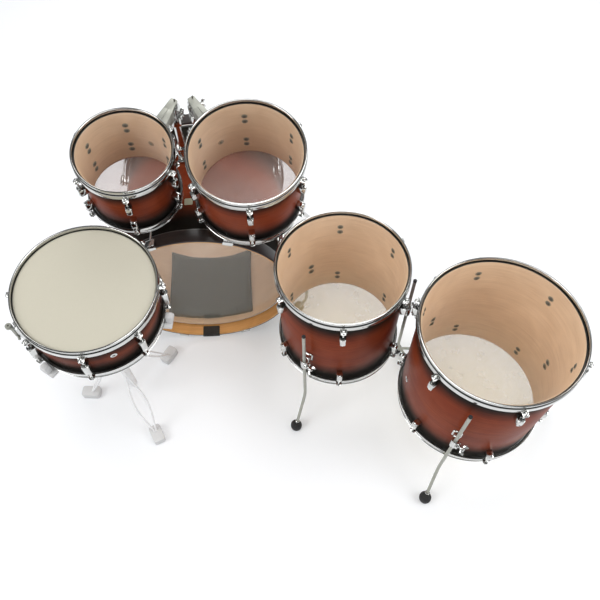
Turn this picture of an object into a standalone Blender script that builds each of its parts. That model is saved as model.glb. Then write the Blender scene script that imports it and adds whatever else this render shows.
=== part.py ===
"""Drum kit: bass drum with two rack toms on its tom holders, two floor toms, and a snare drum on its stand.

Metres, +Z up, -Y towards the player. The origin is on the floor under the middle of the kit.
Every drum is modelled in its own frame: +Z out of the batter head, origin in the middle of that head.
"""

import math

import bmesh
import bpy
from mathutils import Matrix, Vector

# Place of the kit's own layout origin, the floor point under the bass drum, from the middle of the kit
LAYOUT_X = -0.32796
LAYOUT_Y = 0.31958

# Clearances
GAP = 0.0004
SLIDE = 0.0004
SPIN = 0.0001

# Drum shells: nominal diameters and depths
RACK_TOM_SMALL_DIAMETER = 0.2540
RACK_TOM_SMALL_DEPTH = 0.2000
RACK_TOM_LARGE_DIAMETER = 0.3048
RACK_TOM_LARGE_DEPTH = 0.2250
FLOOR_TOM_SMALL_DIAMETER = 0.3556
FLOOR_TOM_SMALL_DEPTH = 0.3570
FLOOR_TOM_LARGE_DIAMETER = 0.4064
FLOOR_TOM_LARGE_DEPTH = 0.4160
SNARE_DIAMETER = 0.3556
SNARE_DEPTH = 0.1460
BASS_DIAMETER = 0.5588
BASS_DEPTH = 0.4570
SHELL_UNDERSIZE = 0.0020
TOM_WALL = 0.0070
SNARE_WALL = 0.0065
BASS_WALL = 0.0085
EDGE_SLOPE = 0.0028

# Heads: a film, its collar and the flesh hoop that it is moulded into
FILM = 0.0004
COLLAR = 0.0010
FLESH_HOOP_REACH = 0.0065
FLESH_HOOP_TOP = 0.0062
FLESH_HOOP_BOTTOM = 0.0125

# Triple-flanged steel hoops
HOOP_RISE = 0.0110
HOOP_SHEET = 0.0022
HOOP_INSIDE = 0.0030
HOOP_STEP_TOP = 0.0010
HOOP_STEP_RUN = 0.0043
HOOP_SKIRT = 0.0187
EAR_TOP = 0.0150
EAR_BOTTOM = 0.0178
EAR_WIDTH = 0.0160

# Tension rods and lugs, on the circle this far outside the shell
ROD_STANDOFF = 0.0165
ROD_RADIUS = 0.0030
LUG_RADIUS = 0.0075
LUG_TOP = 0.0440
LUG_LENGTH = 0.0360
LUG_FOOT_WIDTH = 0.0100

# Bass drum hoops, claws and rods
BASS_HOOP_CLEAR = 0.0031
BASS_HOOP_INSIDE = BASS_DIAMETER / 2 + BASS_HOOP_CLEAR
BASS_HOOP_THICKNESS = 0.0100
BASS_HOOP_WIDTH = 0.0430
BASS_HOOP_SEAT = 0.0038
CLAW_WIDTH = 0.0280
CLAW_REACH = 0.0110
CLAW_LIP = 0.0040
CLAW_LENGTH = 0.0300
CLAW_BITE = 0.0015
BASS_ROD_STANDOFF = 0.0215
BASS_LUG_TOP = 0.0550
BASS_LUG_LENGTH = 0.0420
PROTECTOR_START = -9.0
PROTECTOR_END = 3.3
PROTECTOR_LENGTH = 0.0330
PROTECTOR_THICKNESS = 0.0040

# Places of the drums: middle of the batter head, and its lean
SMALL_TOM_RISE = 0.2882
LARGE_TOM_RISE = 0.2822
SMALL_TOM_PLACE = (-0.1260, -0.1610, BASS_DIAMETER + SMALL_TOM_RISE)
SMALL_TOM_LEAN = (4.5, 9.7)
LARGE_TOM_PLACE = (0.1930, -0.1880, BASS_DIAMETER + LARGE_TOM_RISE)
LARGE_TOM_LEAN = (2.1, 12.3)
SMALL_FLOOR_TOM_PLACE = (0.4260, -0.4180, 0.6250)
LARGE_FLOOR_TOM_PLACE = (0.8020, -0.6330, 0.6215)
SNARE_PLACE = (-0.2350, -0.4730, 0.6915)
SNARE_LEAN = (4.85, 3.25)

# Tom holders: posts in the bass drum, tilters, arms, and the brackets on the toms
POST_RADIUS = 0.0127
POST_SMALL_X = -0.0230
POST_LARGE_X = 0.0390
POST_Y = 0.0850
POST_DIP = 0.1000
POST_TOP_UNDER_TILTER = 0.0200
SMALL_TOM_BRACKET_DEPTH = 0.1150
LARGE_TOM_BRACKET_DEPTH = 0.1350
BRACKET_TO_PIVOT = 0.0320
BRACKET_WIDTH = 0.0420
BRACKET_SHOULDER = 0.0450
BRACKET_NOSE_WIDTH = 0.0270
BRACKET_HEIGHT = 0.0320
BRACKET_BOLT = 0.0620
BRACKET_PLATE_WIDTH = 0.0560
BRACKET_PLATE_HEIGHT = 0.0900
BRACKET_PLATE_THICKNESS = 0.0040
ARM_RADIUS = 0.0064
ARM_END = 0.0120
TILTER_EYE_RADIUS = 0.0165
TILTER_EYE_WIDTH = 0.0130
TILTER_CHEEK = 0.0075
TILTER_COLLAR_RADIUS = 0.0205
TILTER_COLLAR_DROP = 0.0560
BASE_LENGTH = 0.1240
BASE_WIDTH = 0.0620
BASE_THICKNESS = 0.0060
RECEIVER_RADIUS = 0.0200
RECEIVER_HEIGHT = 0.0460

# Bass drum spurs
SPUR_ANGLE = -6.0
SPUR_Y = 0.1000
SPUR_FOOT_X = 0.4000
SPUR_FOOT_Y = 0.2250
SPUR_LEG_RADIUS = 0.0080
SPUR_EYE_RADIUS = 0.0170
SPUR_EYE_WIDTH = 0.0170
SPUR_BLOCK = 0.0420
SPUR_BLOCK_REACH = 0.0160
SPUR_BOSS_LENGTH = 0.0270
RUBBER_RADIUS = 0.0140
RUBBER_HEIGHT = 0.0260

# Floor tom legs and their brackets
LEG_RADIUS = 0.0048
LEG_STANDOFF = 0.0275
LEG_BRACKET_REACH = 0.0380
LEG_BRACKET_WIDTH = 0.0260
LEG_BRACKET_HEIGHT = 0.0400
LEG_BEND = 0.0180
LEG_FOOT_RADIUS = 0.0185
LEG_FOOT_HEIGHT = 0.0360
SMALL_LEG_TOP = 0.5580
SMALL_LEG_BRACKET = 0.3920
SMALL_LEG_BEND = 0.1600
SMALL_LEG_SPREAD = 0.0610
LARGE_LEG_TOP = 0.5650
LARGE_LEG_BRACKET = 0.3680
LARGE_LEG_BEND = 0.1300
LARGE_LEG_SPREAD = 0.0680

# Wing bolts
WING_SHANK = 0.0042
WING_LENGTH = 0.0240
WING_SPAN = 0.0300
WING_THICKNESS = 0.0060
WING_HEIGHT = 0.0140

# Snare drum fittings
STRAINER_ANGLE = 204.5
STRAINER_REACH = 0.0200
STRAINER_WIDTH = 0.0300
STRAINER_TOP = 0.0360
STRAINER_BOTTOM = 0.1020
BUTT_REACH = 0.0140
BUTT_WIDTH = 0.0360
BUTT_TOP = 0.0640
LEVER_WIDTH = 0.0120
LEVER_THICKNESS = 0.0070
LEVER_LENGTH = 0.0580
LEVER_PIVOT_DEPTH = 0.0920
GATE_WIDTH = 0.0340
STRAP_WIDTH = 0.0240
STRAP_THICKNESS = 0.0008
WIRE_COUNT = 12
WIRE_RADIUS = 0.0009
WIRE_PITCH = 0.0034
WIRE_REACH = 0.1480
WIRE_CLIP_LENGTH = 0.0120
VENT_RADIUS = 0.0055
SNARE_VENT_ANGLE = 294.0
SNARE_VENT_DEPTH = 0.0640
FLOOR_TOM_VENT_ANGLE = 180.0
FLOOR_TOM_VENT_DEPTH = 0.2800

# Muffling pad on the floor of the bass drum
PAD_HALF_ANGLE = 35.0
PAD_SHIFT = -1.5
PAD_FRONT = 0.0160
PAD_LENGTH = 0.2860
PAD_THICKNESS = 0.0240
PAD_CROWN = 0.0050

# Snare stand
STAND_X = -0.2620
STAND_Y = -0.4800
STAND_PIVOT_DEPTH = 0.2380
STAND_TUBE_RADIUS = 0.0145
STAND_INNER_RADIUS = 0.0110
STAND_TUBE_BOTTOM = 0.1000
STAND_TUBE_TOP = 0.3700
STAND_INNER_BOTTOM = 0.2000
STAND_CLAMP_RADIUS = 0.0220
STAND_CLAMP_HEIGHT = 0.0360
TRIPOD_HUB_TOP = 0.3000
TRIPOD_HUB_HEIGHT = 0.0300
TRIPOD_HUB_RADIUS = 0.0210
TRIPOD_SPREAD = 0.1680
TRIPOD_ANGLES = (55.0, 175.0, 295.0)
TRIPOD_BOW = 0.0180
TRIPOD_STRIP = 0.0090
TRIPOD_THICKNESS = 0.0060
TRIPOD_EAR = 0.0060
TRIPOD_FOOT_LENGTH = 0.0640
TRIPOD_FOOT_WIDTH = 0.0420
TRIPOD_FOOT_HEIGHT = 0.0300
BASKET_ANGLES = (113.5, 233.5, 353.5)
BASKET_HUB_RADIUS = 0.0200
BASKET_HUB_TOP = 0.1980
BASKET_ARM_RADIUS = 0.0055
BASKET_PIVOT_RADIUS = 0.0300
GRIP_CLEAR = 0.0105
GRIP_WIDTH = 0.0460
GRIP_UPRIGHT_WIDTH = 0.0220
GRIP_WALL = 0.0180
GRIP_FLOOR = 0.0120
GRIP_RISE = 0.0330

# Colours of the finishes
BURST = (0.150, 0.032, 0.016)
DARK_WOOD = (0.030, 0.016, 0.014)
CHROME = (0.820, 0.830, 0.840)
CLEAR_FILM = (0.780, 0.720, 0.640)
COATED_FILM = (0.780, 0.740, 0.660)
BLACK_RUBBER = (0.020, 0.020, 0.022)
GREY_FELT = (0.150, 0.155, 0.150)
PALE_METAL = (0.780, 0.780, 0.780)


class Drum:
    """Sizes of one drum. Its round pieces are turned so that a flat side carries the first lug."""

    def __init__(self, name, diameter, depth, wall, sides, lugs, first_lug):
        self.name = name
        self.radius = diameter / 2 - SHELL_UNDERSIZE
        self.flat = self.radius * math.cos(math.pi / sides)
        self.depth = depth
        self.wall = wall
        self.sides = sides
        self.turn = first_lug - 180 / sides
        self.lug_angles = [first_lug + 360 * i / lugs for i in range(lugs)]

    def side_radius(self, radius, angle):
        """Distance from the axis to the flat side of a round piece at an angle in degrees."""
        step = 360 / self.sides
        off = (angle - self.turn) % step - step / 2
        return radius * math.cos(math.radians(step / 2)) / math.cos(math.radians(off))


SMALL_TOM = Drum("tom_small", RACK_TOM_SMALL_DIAMETER, RACK_TOM_SMALL_DEPTH, TOM_WALL, 24, 6, 34.0)
LARGE_TOM = Drum("tom_large", RACK_TOM_LARGE_DIAMETER, RACK_TOM_LARGE_DEPTH, TOM_WALL, 24, 6, 30.5)
SMALL_FLOOR_TOM = Drum(
    "floor_tom_small", FLOOR_TOM_SMALL_DIAMETER, FLOOR_TOM_SMALL_DEPTH, TOM_WALL, 24, 6, 25.0
)
LARGE_FLOOR_TOM = Drum(
    "floor_tom_large", FLOOR_TOM_LARGE_DIAMETER, FLOOR_TOM_LARGE_DEPTH, TOM_WALL, 24, 6, 31.0
)
SNARE = Drum("snare", SNARE_DIAMETER, SNARE_DEPTH, SNARE_WALL, 24, 8, 2.0)
BASS = Drum("bass", BASS_DIAMETER, BASS_DEPTH, BASS_WALL, 32, 8, 22.5)

# The bass drum stands on the flat undersides of its hoops
BASS_HEIGHT = BASS.side_radius(BASS_HOOP_INSIDE + BASS_HOOP_THICKNESS, 270.0)


def clear_scene():
    """Remove every object, so that the kit is alone in the file."""
    for thing in list(bpy.data.objects):
        bpy.data.objects.remove(thing, do_unlink=True)


def make_collection(name):
    """Add a collection to the scene."""
    group = bpy.data.collections.new(name)
    bpy.context.scene.collection.children.link(group)
    return group


def finish(name, colour, roughness, metallic):
    """One material with a Principled BSDF."""
    material = bpy.data.materials.new(name)
    material.use_nodes = True
    shader = material.node_tree.nodes["Principled BSDF"]
    shader.inputs["Base Color"].default_value = (*colour, 1.0)
    shader.inputs["Roughness"].default_value = roughness
    shader.inputs["Metallic"].default_value = metallic
    material.diffuse_color = (*colour, 1.0)
    return material


def make_frame(name, matrix, parent=None):
    """An empty that carries the pieces placed in its frame."""
    frame = bpy.data.objects.new(name, None)
    frame.empty_display_size = 0.05
    PARTS.objects.link(frame)
    frame.parent = parent
    frame.matrix_local = matrix
    return frame


def add_part(name, mesh, frame, material):
    """Put a mesh in the kit as one named sub-part."""
    part = bpy.data.objects.new(name, mesh)
    PARTS.objects.link(part)
    part.parent = frame
    mesh.materials.clear()
    mesh.materials.append(material)
    mesh.shade_smooth()
    mesh.set_sharp_from_angle(angle=math.radians(35))
    return part


def add_tool(name, mesh, frame):
    """Put a mesh in the cutters' collection, as a shape that joins or cuts a sub-part."""
    tool = bpy.data.objects.new(name, mesh)
    CUTTERS.objects.link(tool)
    tool.parent = frame
    tool.hide_render = True
    tool.display_type = "WIRE"
    return tool


def apply_tool(part, mesh, operation):
    """Join a mesh given in the sub-part's frame to the sub-part, or cut it out."""
    tool = add_tool(part.name + "_" + operation.lower(), mesh, part.parent)
    step = part.modifiers.new(operation.title(), "BOOLEAN")
    step.operation = operation
    step.solver = "EXACT"
    step.object = tool


def mesh_from(bm, name="shape"):
    """Turn a bmesh into a mesh."""
    mesh = bpy.data.meshes.new(name)
    bm.to_mesh(mesh)
    bm.free()
    return mesh


def block(low, high):
    """A box between two corners."""
    bm = bmesh.new()
    size = [b - a for a, b in zip(low, high)]
    middle = [(a + b) / 2 for a, b in zip(low, high)]
    place = Matrix.Translation(middle) @ Matrix.Diagonal((*size, 1.0))
    bmesh.ops.create_cube(bm, size=1.0, matrix=place)
    return mesh_from(bm)


def turn_to(start, end):
    """Matrix that puts +Z along a line and the origin at the line's middle."""
    start = Vector(start)
    end = Vector(end)
    turn = Vector((0, 0, 1)).rotation_difference(end - start)
    return Matrix.Translation((start + end) / 2) @ turn.to_matrix().to_4x4()


def prism(outline, low, high):
    """An upright block on a convex outline, between two heights."""
    bm = bmesh.new()
    bottom = [bm.verts.new((x, y, low)) for x, y in outline]
    top = [bm.verts.new((x, y, high)) for x, y in outline]
    for i in range(len(outline)):
        bm.faces.new((bottom[i - 1], bottom[i], top[i], top[i - 1]))
    bm.faces.new(list(reversed(bottom)))
    bm.faces.new(top)
    bmesh.ops.recalc_face_normals(bm, faces=bm.faces)
    return mesh_from(bm)


def rod(start, end, radius, sides=8, end_radius=None):
    """A straight round bar or cone between two points."""
    bm = bmesh.new()
    bmesh.ops.create_cone(
        bm,
        cap_ends=True,
        segments=sides,
        radius1=radius,
        radius2=radius if end_radius is None else end_radius,
        depth=(Vector(end) - Vector(start)).length,
        matrix=turn_to(start, end),
    )
    return mesh_from(bm)


def bent_rod(points, radius):
    """A round bar through points, as a curve with a bevel, turned into a welded mesh."""
    curve = bpy.data.curves.new("bar", "CURVE")
    curve.dimensions = "3D"
    curve.bevel_depth = radius
    curve.bevel_resolution = 2
    curve.use_fill_caps = True
    line = curve.splines.new("POLY")
    line.points.add(len(points) - 1)
    for spot, point in zip(line.points, points):
        spot.co = (*point, 1.0)
    return evaluated(bpy.data.objects.new("bar", curve), weld=True)


def flat_plate(outlines, thickness):
    """A plate centred on the XY plane, from closed outlines. The later ones are cut out as holes."""
    curve = bpy.data.curves.new("plate", "CURVE")
    curve.dimensions = "2D"
    curve.fill_mode = "BOTH"
    curve.extrude = thickness / 2
    for outline in outlines:
        line = curve.splines.new("POLY")
        line.points.add(len(outline) - 1)
        for spot, point in zip(line.points, outline):
            spot.co = (point[0], point[1], 0.0, 1.0)
        line.use_cyclic_u = True
    return evaluated(bpy.data.objects.new("plate", curve), weld=True)


def turned_object(name, profile, sides):
    """An object with a profile of (radius, height) points and a Screw modifier that turns it."""
    points = list(profile)
    area = sum(
        points[i - 1][0] * points[i][1] - points[i][0] * points[i - 1][1] for i in range(len(points))
    )
    if area > 0:
        points.reverse()
    while points[0][0] > 0 and any(r == 0 for r, z in points):
        points.append(points.pop(0))
    on_axis = [i for i, (r, z) in enumerate(points) if r == 0]
    if on_axis:
        while not (points[0][0] == 0 and points[-1][0] == 0):
            points.append(points.pop(0))
    edges = [(i, i + 1) for i in range(len(points) - 1)]
    if not on_axis:
        edges.append((len(points) - 1, 0))
    mesh = bpy.data.meshes.new(name)
    mesh.from_pydata([(r, 0.0, z) for r, z in points], edges, [])
    thing = bpy.data.objects.new(name, mesh)
    screw = thing.modifiers.new("Turn", "SCREW")
    screw.steps = sides
    screw.render_steps = sides
    screw.use_merge_vertices = True
    screw.merge_threshold = 0.00001
    return thing


def evaluated(thing, weld=False):
    """The mesh of an object with its modifiers or bevel applied; the object is removed."""
    bpy.context.scene.collection.objects.link(thing)
    graph = bpy.context.evaluated_depsgraph_get()
    mesh = bpy.data.meshes.new_from_object(thing.evaluated_get(graph))
    bpy.data.objects.remove(thing, do_unlink=True)
    if weld:
        bm = bmesh.new()
        bm.from_mesh(mesh)
        bmesh.ops.remove_doubles(bm, verts=bm.verts, dist=0.00002)
        bmesh.ops.recalc_face_normals(bm, faces=bm.faces)
        bm.to_mesh(mesh)
        bm.free()
    return mesh


def turned(profile, sides):
    """A turned mesh."""
    return evaluated(turned_object("turned", profile, sides))


def moved(mesh, matrix):
    """A copy of a mesh, moved."""
    copy = mesh.copy()
    copy.transform(matrix)
    return copy


def together(meshes):
    """Meshes that don't touch each other, as one mesh."""
    bm = bmesh.new()
    for mesh in meshes:
        bm.from_mesh(mesh)
    return mesh_from(bm)


def joined(meshes, cuts=()):
    """The union of overlapping meshes, with the cuts taken out of it."""
    body = bpy.data.objects.new("joined", meshes[0])
    helpers = []
    for operation, tools in (("UNION", meshes[1:]), ("DIFFERENCE", cuts)):
        for mesh in tools:
            helper = bpy.data.objects.new("helper", mesh)
            bpy.context.scene.collection.objects.link(helper)
            helpers.append(helper)
            step = body.modifiers.new("Step", "BOOLEAN")
            step.operation = operation
            step.solver = "EXACT"
            step.object = helper
    mesh = evaluated(body)
    for helper in helpers:
        bpy.data.objects.remove(helper, do_unlink=True)
    return mesh


def about_z(angle):
    """Turn by an angle in degrees about Z."""
    return Matrix.Rotation(math.radians(angle), 4, "Z")


def around(mesh, angles):
    """Copies of a mesh at several angles round Z."""
    return together([moved(mesh, about_z(angle)) for angle in angles])


def polar(radius, angle, height):
    """A point from its radius, angle in degrees and height."""
    turn = math.radians(angle)
    return Vector((radius * math.cos(turn), radius * math.sin(turn), height))


def wing_bolt(start, direction):
    """A wing bolt that stands out of a bracket, its wings across the direction it points in."""
    along = Vector(direction).normalized()
    start = Vector(start)
    shoulder = WING_LENGTH - WING_HEIGHT
    outline = [
        (-WING_SHANK, 0.0),
        (WING_SHANK, 0.0),
        (WING_SHANK, shoulder),
        (WING_SPAN / 2, WING_LENGTH - WING_HEIGHT / 3),
        (WING_SPAN / 2, WING_LENGTH),
        (-WING_SPAN / 2, WING_LENGTH),
        (-WING_SPAN / 2, WING_LENGTH - WING_HEIGHT / 3),
        (-WING_SHANK, shoulder),
    ]
    wing = prism(outline, -WING_THICKNESS / 2, WING_THICKNESS / 2)
    turn = Vector((0, 1, 0)).rotation_difference(along).to_matrix().to_4x4()
    wing.transform(Matrix.Translation(start) @ turn)
    return wing


def head_profile(drum, side):
    """Film, collar and flesh hoop. side is 1 at the batter end and -1 at the other."""
    r = drum.radius
    points = [
        (0.0, 0.0),
        (r + COLLAR, 0.0),
        (r + FLESH_HOOP_REACH, -FLESH_HOOP_TOP),
        (r + FLESH_HOOP_REACH, -FLESH_HOOP_BOTTOM),
        (r + GAP, -FILM),
        (0.0, -FILM),
    ]
    return at_side(drum, points, side)


def shell_profile(drum):
    """Shell wall with its sloped bearing edges."""
    r = drum.radius
    top = -FILM - GAP
    bottom = -drum.depth + FILM + GAP
    slope = drum.wall - EDGE_SLOPE
    return [
        (r - EDGE_SLOPE, top),
        (r, top - EDGE_SLOPE),
        (r, bottom + EDGE_SLOPE),
        (r - EDGE_SLOPE, bottom),
        (r - drum.wall, bottom + slope),
        (r - drum.wall, top - slope),
    ]


def steel_hoop_profile(drum, side):
    """Pressed steel hoop: upright wall, step over the flesh hoop, and skirt that carries the ears."""
    inside = drum.radius + HOOP_INSIDE
    skirt = inside + HOOP_STEP_RUN
    points = [
        (inside + HOOP_SHEET, HOOP_RISE),
        (inside + HOOP_SHEET, -HOOP_STEP_TOP),
        (skirt + HOOP_SHEET, -HOOP_STEP_TOP - HOOP_STEP_RUN),
        (skirt + HOOP_SHEET, -HOOP_SKIRT),
        (skirt, -HOOP_SKIRT),
        (skirt, -HOOP_STEP_TOP - HOOP_STEP_RUN - HOOP_SHEET / 3),
        (inside, -HOOP_STEP_TOP - HOOP_SHEET / 3),
        (inside, HOOP_RISE),
    ]
    return at_side(drum, points, side)


def wood_hoop_profile(drum, side):
    """Plain wooden hoop that bears on the flesh hoop."""
    outside = BASS_HOOP_INSIDE + BASS_HOOP_THICKNESS
    front = BASS_HOOP_WIDTH - BASS_HOOP_SEAT
    points = [
        (outside, front),
        (outside, -BASS_HOOP_SEAT),
        (BASS_HOOP_INSIDE, -BASS_HOOP_SEAT),
        (BASS_HOOP_INSIDE, front),
    ]
    return at_side(drum, points, side)


def at_side(drum, points, side):
    """Points given for the batter end, or mirrored to the other end of the drum."""
    if side > 0:
        return points
    return [(r, -drum.depth - z) for r, z in points]


def mirrored_to(drum, mesh, side):
    """A fitting made for the batter end, or its mirror image at the other end."""
    if side > 0:
        return mesh
    flip = Matrix.Translation((0, 0, -drum.depth)) @ Matrix.Diagonal((1, 1, -1, 1))
    copy = moved(mesh, flip)
    copy.flip_normals()
    return copy


def across_x(mesh):
    """Mirror image of a mesh on the other side of the XZ plane."""
    copy = moved(mesh, Matrix.Diagonal((1, -1, 1, 1)))
    copy.flip_normals()
    return copy


def lug_body(drum, circle, top, bottom):
    """Lug casting: its foot stands on a flat side of the shell and its barrel lies round the rod."""
    half = LUG_FOOT_WIDTH / 2
    nose = LUG_RADIUS * 0.6
    outline = [
        (drum.flat + GAP, -half),
        (circle - nose, -LUG_RADIUS),
        (circle + LUG_RADIUS, -nose),
        (circle + LUG_RADIUS, nose),
        (circle - nose, LUG_RADIUS),
        (drum.flat + GAP, half),
    ]
    return prism(outline, bottom, top)


def rod_and_lug(drum, lug_length, foot=True):
    """Hoop ear, tension rod and lug on the +X side, at the batter end."""
    circle = drum.radius + ROD_STANDOFF
    skirt = (drum.radius + HOOP_INSIDE + HOOP_STEP_RUN + HOOP_SHEET / 2) * drum.flat / drum.radius
    lug_bottom = -LUG_TOP - lug_length
    rod_bottom = -LUG_TOP - LUG_RADIUS if foot else lug_bottom
    ear = block((skirt, -EAR_WIDTH / 2, -EAR_BOTTOM), (circle + EAR_WIDTH / 2, EAR_WIDTH / 2, -EAR_TOP))
    shapes = [ear, rod((circle, 0, -(EAR_TOP + EAR_BOTTOM) / 2), (circle, 0, rod_bottom), ROD_RADIUS, 6)]
    if foot:
        shapes.append(lug_body(drum, circle, -LUG_TOP, lug_bottom))
    return joined(shapes)


def claw_and_lug(drum):
    """Claw on the wooden hoop, its rod and its lug, on the +X side at the batter end."""
    outside = (BASS_HOOP_INSIDE + BASS_HOOP_THICKNESS) * drum.flat / drum.radius
    front = BASS_HOOP_WIDTH - BASS_HOOP_SEAT
    circle = drum.radius + BASS_ROD_STANDOFF
    claw = prism(
        [
            (outside - BASS_HOOP_THICKNESS * 0.6, front - CLAW_BITE),
            (outside - BASS_HOOP_THICKNESS * 0.6, front + CLAW_LIP),
            (outside + CLAW_REACH, front + CLAW_LIP - CLAW_REACH / 2),
            (outside + CLAW_REACH, front + CLAW_LIP - CLAW_LENGTH),
            (outside - CLAW_BITE, front + CLAW_LIP - CLAW_LENGTH),
        ],
        -CLAW_WIDTH / 2,
        CLAW_WIDTH / 2,
    )
    claw.transform(Matrix(((1, 0, 0), (0, 0, -1), (0, 1, 0))).to_4x4())
    bar = rod((circle, 0, front - CLAW_LENGTH / 2), (circle, 0, -BASS_LUG_TOP - LUG_RADIUS), ROD_RADIUS, 6)
    return joined([claw, bar, lug_body(drum, circle, -BASS_LUG_TOP, -BASS_LUG_TOP - BASS_LUG_LENGTH)])


def add_turned(drum, name, profile, frame, material):
    """A turned sub-part of a drum, which keeps its Screw modifier."""
    part = turned_object(drum.name + "_" + name, profile, drum.sides)
    PARTS.objects.link(part)
    part.parent = frame
    part.matrix_local = about_z(drum.turn)
    part.data.materials.append(material)
    part.modifiers["Turn"].use_smooth_shade = True
    return part


def add_shell(drum, frame, material):
    """The wooden shell."""
    return add_turned(drum, "shell", shell_profile(drum), frame, material)


def add_heads(drum, frame, batter, other, other_name):
    """Both heads with their flesh hoops."""
    add_turned(drum, "batter_head", head_profile(drum, 1), frame, batter)
    add_turned(drum, other_name + "_head", head_profile(drum, -1), frame, other)


def add_steel_hoops(drum, frame, material, lug_lengths=(LUG_LENGTH, LUG_LENGTH), bottom_foot=True):
    """Both steel hoops with their tension rods and lugs."""
    hoops = []
    for side, name, length in ((1, "batter", lug_lengths[0]), (-1, "resonant", lug_lengths[1])):
        hoop = add_turned(drum, name + "_hoop", steel_hoop_profile(drum, side), frame, material)
        fitting = rod_and_lug(drum, length, side > 0 or bottom_foot)
        apply_tool(hoop, around(mirrored_to(drum, fitting, side), drum.lug_angles), "UNION")
        hoops.append(hoop)
    return hoops


def drum_matrix(place, lean=(0.0, 0.0)):
    """Frame of an upright drum: lean is degrees to the right and towards the player."""
    x = math.sin(math.radians(lean[0]))
    y = -math.sin(math.radians(lean[1]))
    up = Vector((x, y, math.sqrt(1 - x * x - y * y)))
    right = (Vector((1, 0, 0)) - up * up.x).normalized()
    back = up.cross(right)
    matrix = Matrix((right, back, up)).transposed().to_4x4()
    matrix.translation = Vector(place)
    return matrix


def bass_matrix():
    """Frame of the bass drum, whose batter head faces the player."""
    matrix = Matrix(((1, 0, 0), (0, 0, -1), (0, 1, 0))).to_4x4()
    matrix.translation = Vector((0, -BASS_DEPTH / 2, BASS_HEIGHT))
    return matrix


def bass_point(x, y, z):
    """A point of the layout in the bass drum's frame."""
    return bass_matrix().inverted() @ Vector((x, y, z))


def spur_pivot(sign):
    """Foot, hinge point and hinge axis of one spur, in the layout frame."""
    angle = math.radians(SPUR_ANGLE)
    out = Vector((sign * math.cos(angle), 0, math.sin(angle)))
    root = Vector((0, SPUR_Y, BASS_HEIGHT)) + out * (BASS.radius + SPUR_BLOCK_REACH / 2)
    foot = Vector((sign * SPUR_FOOT_X, SPUR_FOOT_Y, RUBBER_HEIGHT / 2))
    stand_off = SPUR_BOSS_LENGTH + GAP + SPUR_EYE_WIDTH / 2
    run = foot - root
    tilt = math.atan2(run.z, abs(run.x)) + math.acos(stand_off / math.hypot(run.x, run.z))
    axis = Vector((sign * math.cos(tilt), 0, math.sin(tilt)))
    pivot = root + axis * stand_off
    return foot, pivot, axis, out, root


def spur_bracket(sign):
    """Spur bracket on the bass shell: a block and a boss along the hinge axis, in the bass drum's frame."""
    foot, pivot, axis, out, root = spur_pivot(sign)
    half = SPUR_BLOCK / 2
    plate = block((-0.0030, -half, -half), (SPUR_BLOCK_REACH, half, half))
    turn = Vector((1, 0, 0)).rotation_difference(out).to_matrix().to_4x4()
    plate.transform(Matrix.Translation(root - out * (SPUR_BLOCK_REACH / 2)) @ turn)
    boss = rod(root, root + axis * SPUR_BOSS_LENGTH, SPUR_EYE_RADIUS, 12)
    shape = joined([plate, boss])
    shape.transform(bass_matrix().inverted())
    return shape


def build_bass(kit):
    """Bass drum with its hoops, heads, protector, pad and spurs."""
    frame = make_frame("bass_frame", bass_matrix(), kit)
    shell = add_shell(BASS, frame, BURST_LACQUER)
    apply_tool(shell, together([spur_bracket(-1), spur_bracket(1)]), "UNION")
    holes = [
        rod(
            bass_point(x, POST_Y, BASS_HEIGHT + BASS.radius / 2),
            bass_point(x, POST_Y, BASS_HEIGHT + BASS.radius * 1.2),
            POST_RADIUS + 0.0020,
            12,
        )
        for x in (POST_SMALL_X, POST_LARGE_X)
    ]
    apply_tool(shell, together(holes), "DIFFERENCE")
    add_heads(BASS, frame, CLEAR_HEAD, CLEAR_HEAD, "front")
    for side, name in ((1, "batter"), (-1, "front")):
        hoop = add_turned(BASS, name + "_hoop", wood_hoop_profile(BASS, side), frame, DARK_LACQUER)
        apply_tool(hoop, around(mirrored_to(BASS, claw_and_lug(BASS), side), BASS.lug_angles), "UNION")
    add_protector(frame)
    add_pad(frame)
    for sign, name in ((-1, "left"), (1, "right")):
        add_spur(kit, sign, name)


def add_protector(frame):
    """Rubber protector over the bottom of the batter hoop, for a pedal's clamp."""
    front = BASS_HOOP_WIDTH - BASS_HOOP_SEAT
    low = front - PROTECTOR_LENGTH
    high = front + GAP + PROTECTOR_THICKNESS
    over = BASS_HOOP_INSIDE + BASS_HOOP_THICKNESS * 0.7
    under = BASS_HOOP_INSIDE - GAP
    section = [
        (under, low),
        (under - PROTECTOR_THICKNESS, low),
        (under - PROTECTOR_THICKNESS, high),
        (over, high),
        (over, front + GAP),
        (under, front + GAP),
    ]
    bm = bmesh.new()
    rings = []
    corner = 180 / BASS.sides
    for angle in (270 + PROTECTOR_START, 270 - corner, 270 + PROTECTOR_END):
        rings.append([bm.verts.new(polar(BASS.side_radius(r, angle), angle, z)) for r, z in section])
    for a, b in zip(rings, rings[1:]):
        for k in range(len(section)):
            bm.faces.new((a[k - 1], a[k], b[k], b[k - 1]))
    bm.faces.new(rings[0])
    bm.faces.new(list(reversed(rings[-1])))
    bmesh.ops.recalc_face_normals(bm, faces=bm.faces)
    add_part("bass_hoop_protector", mesh_from(bm), frame, RUBBER)


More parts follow.
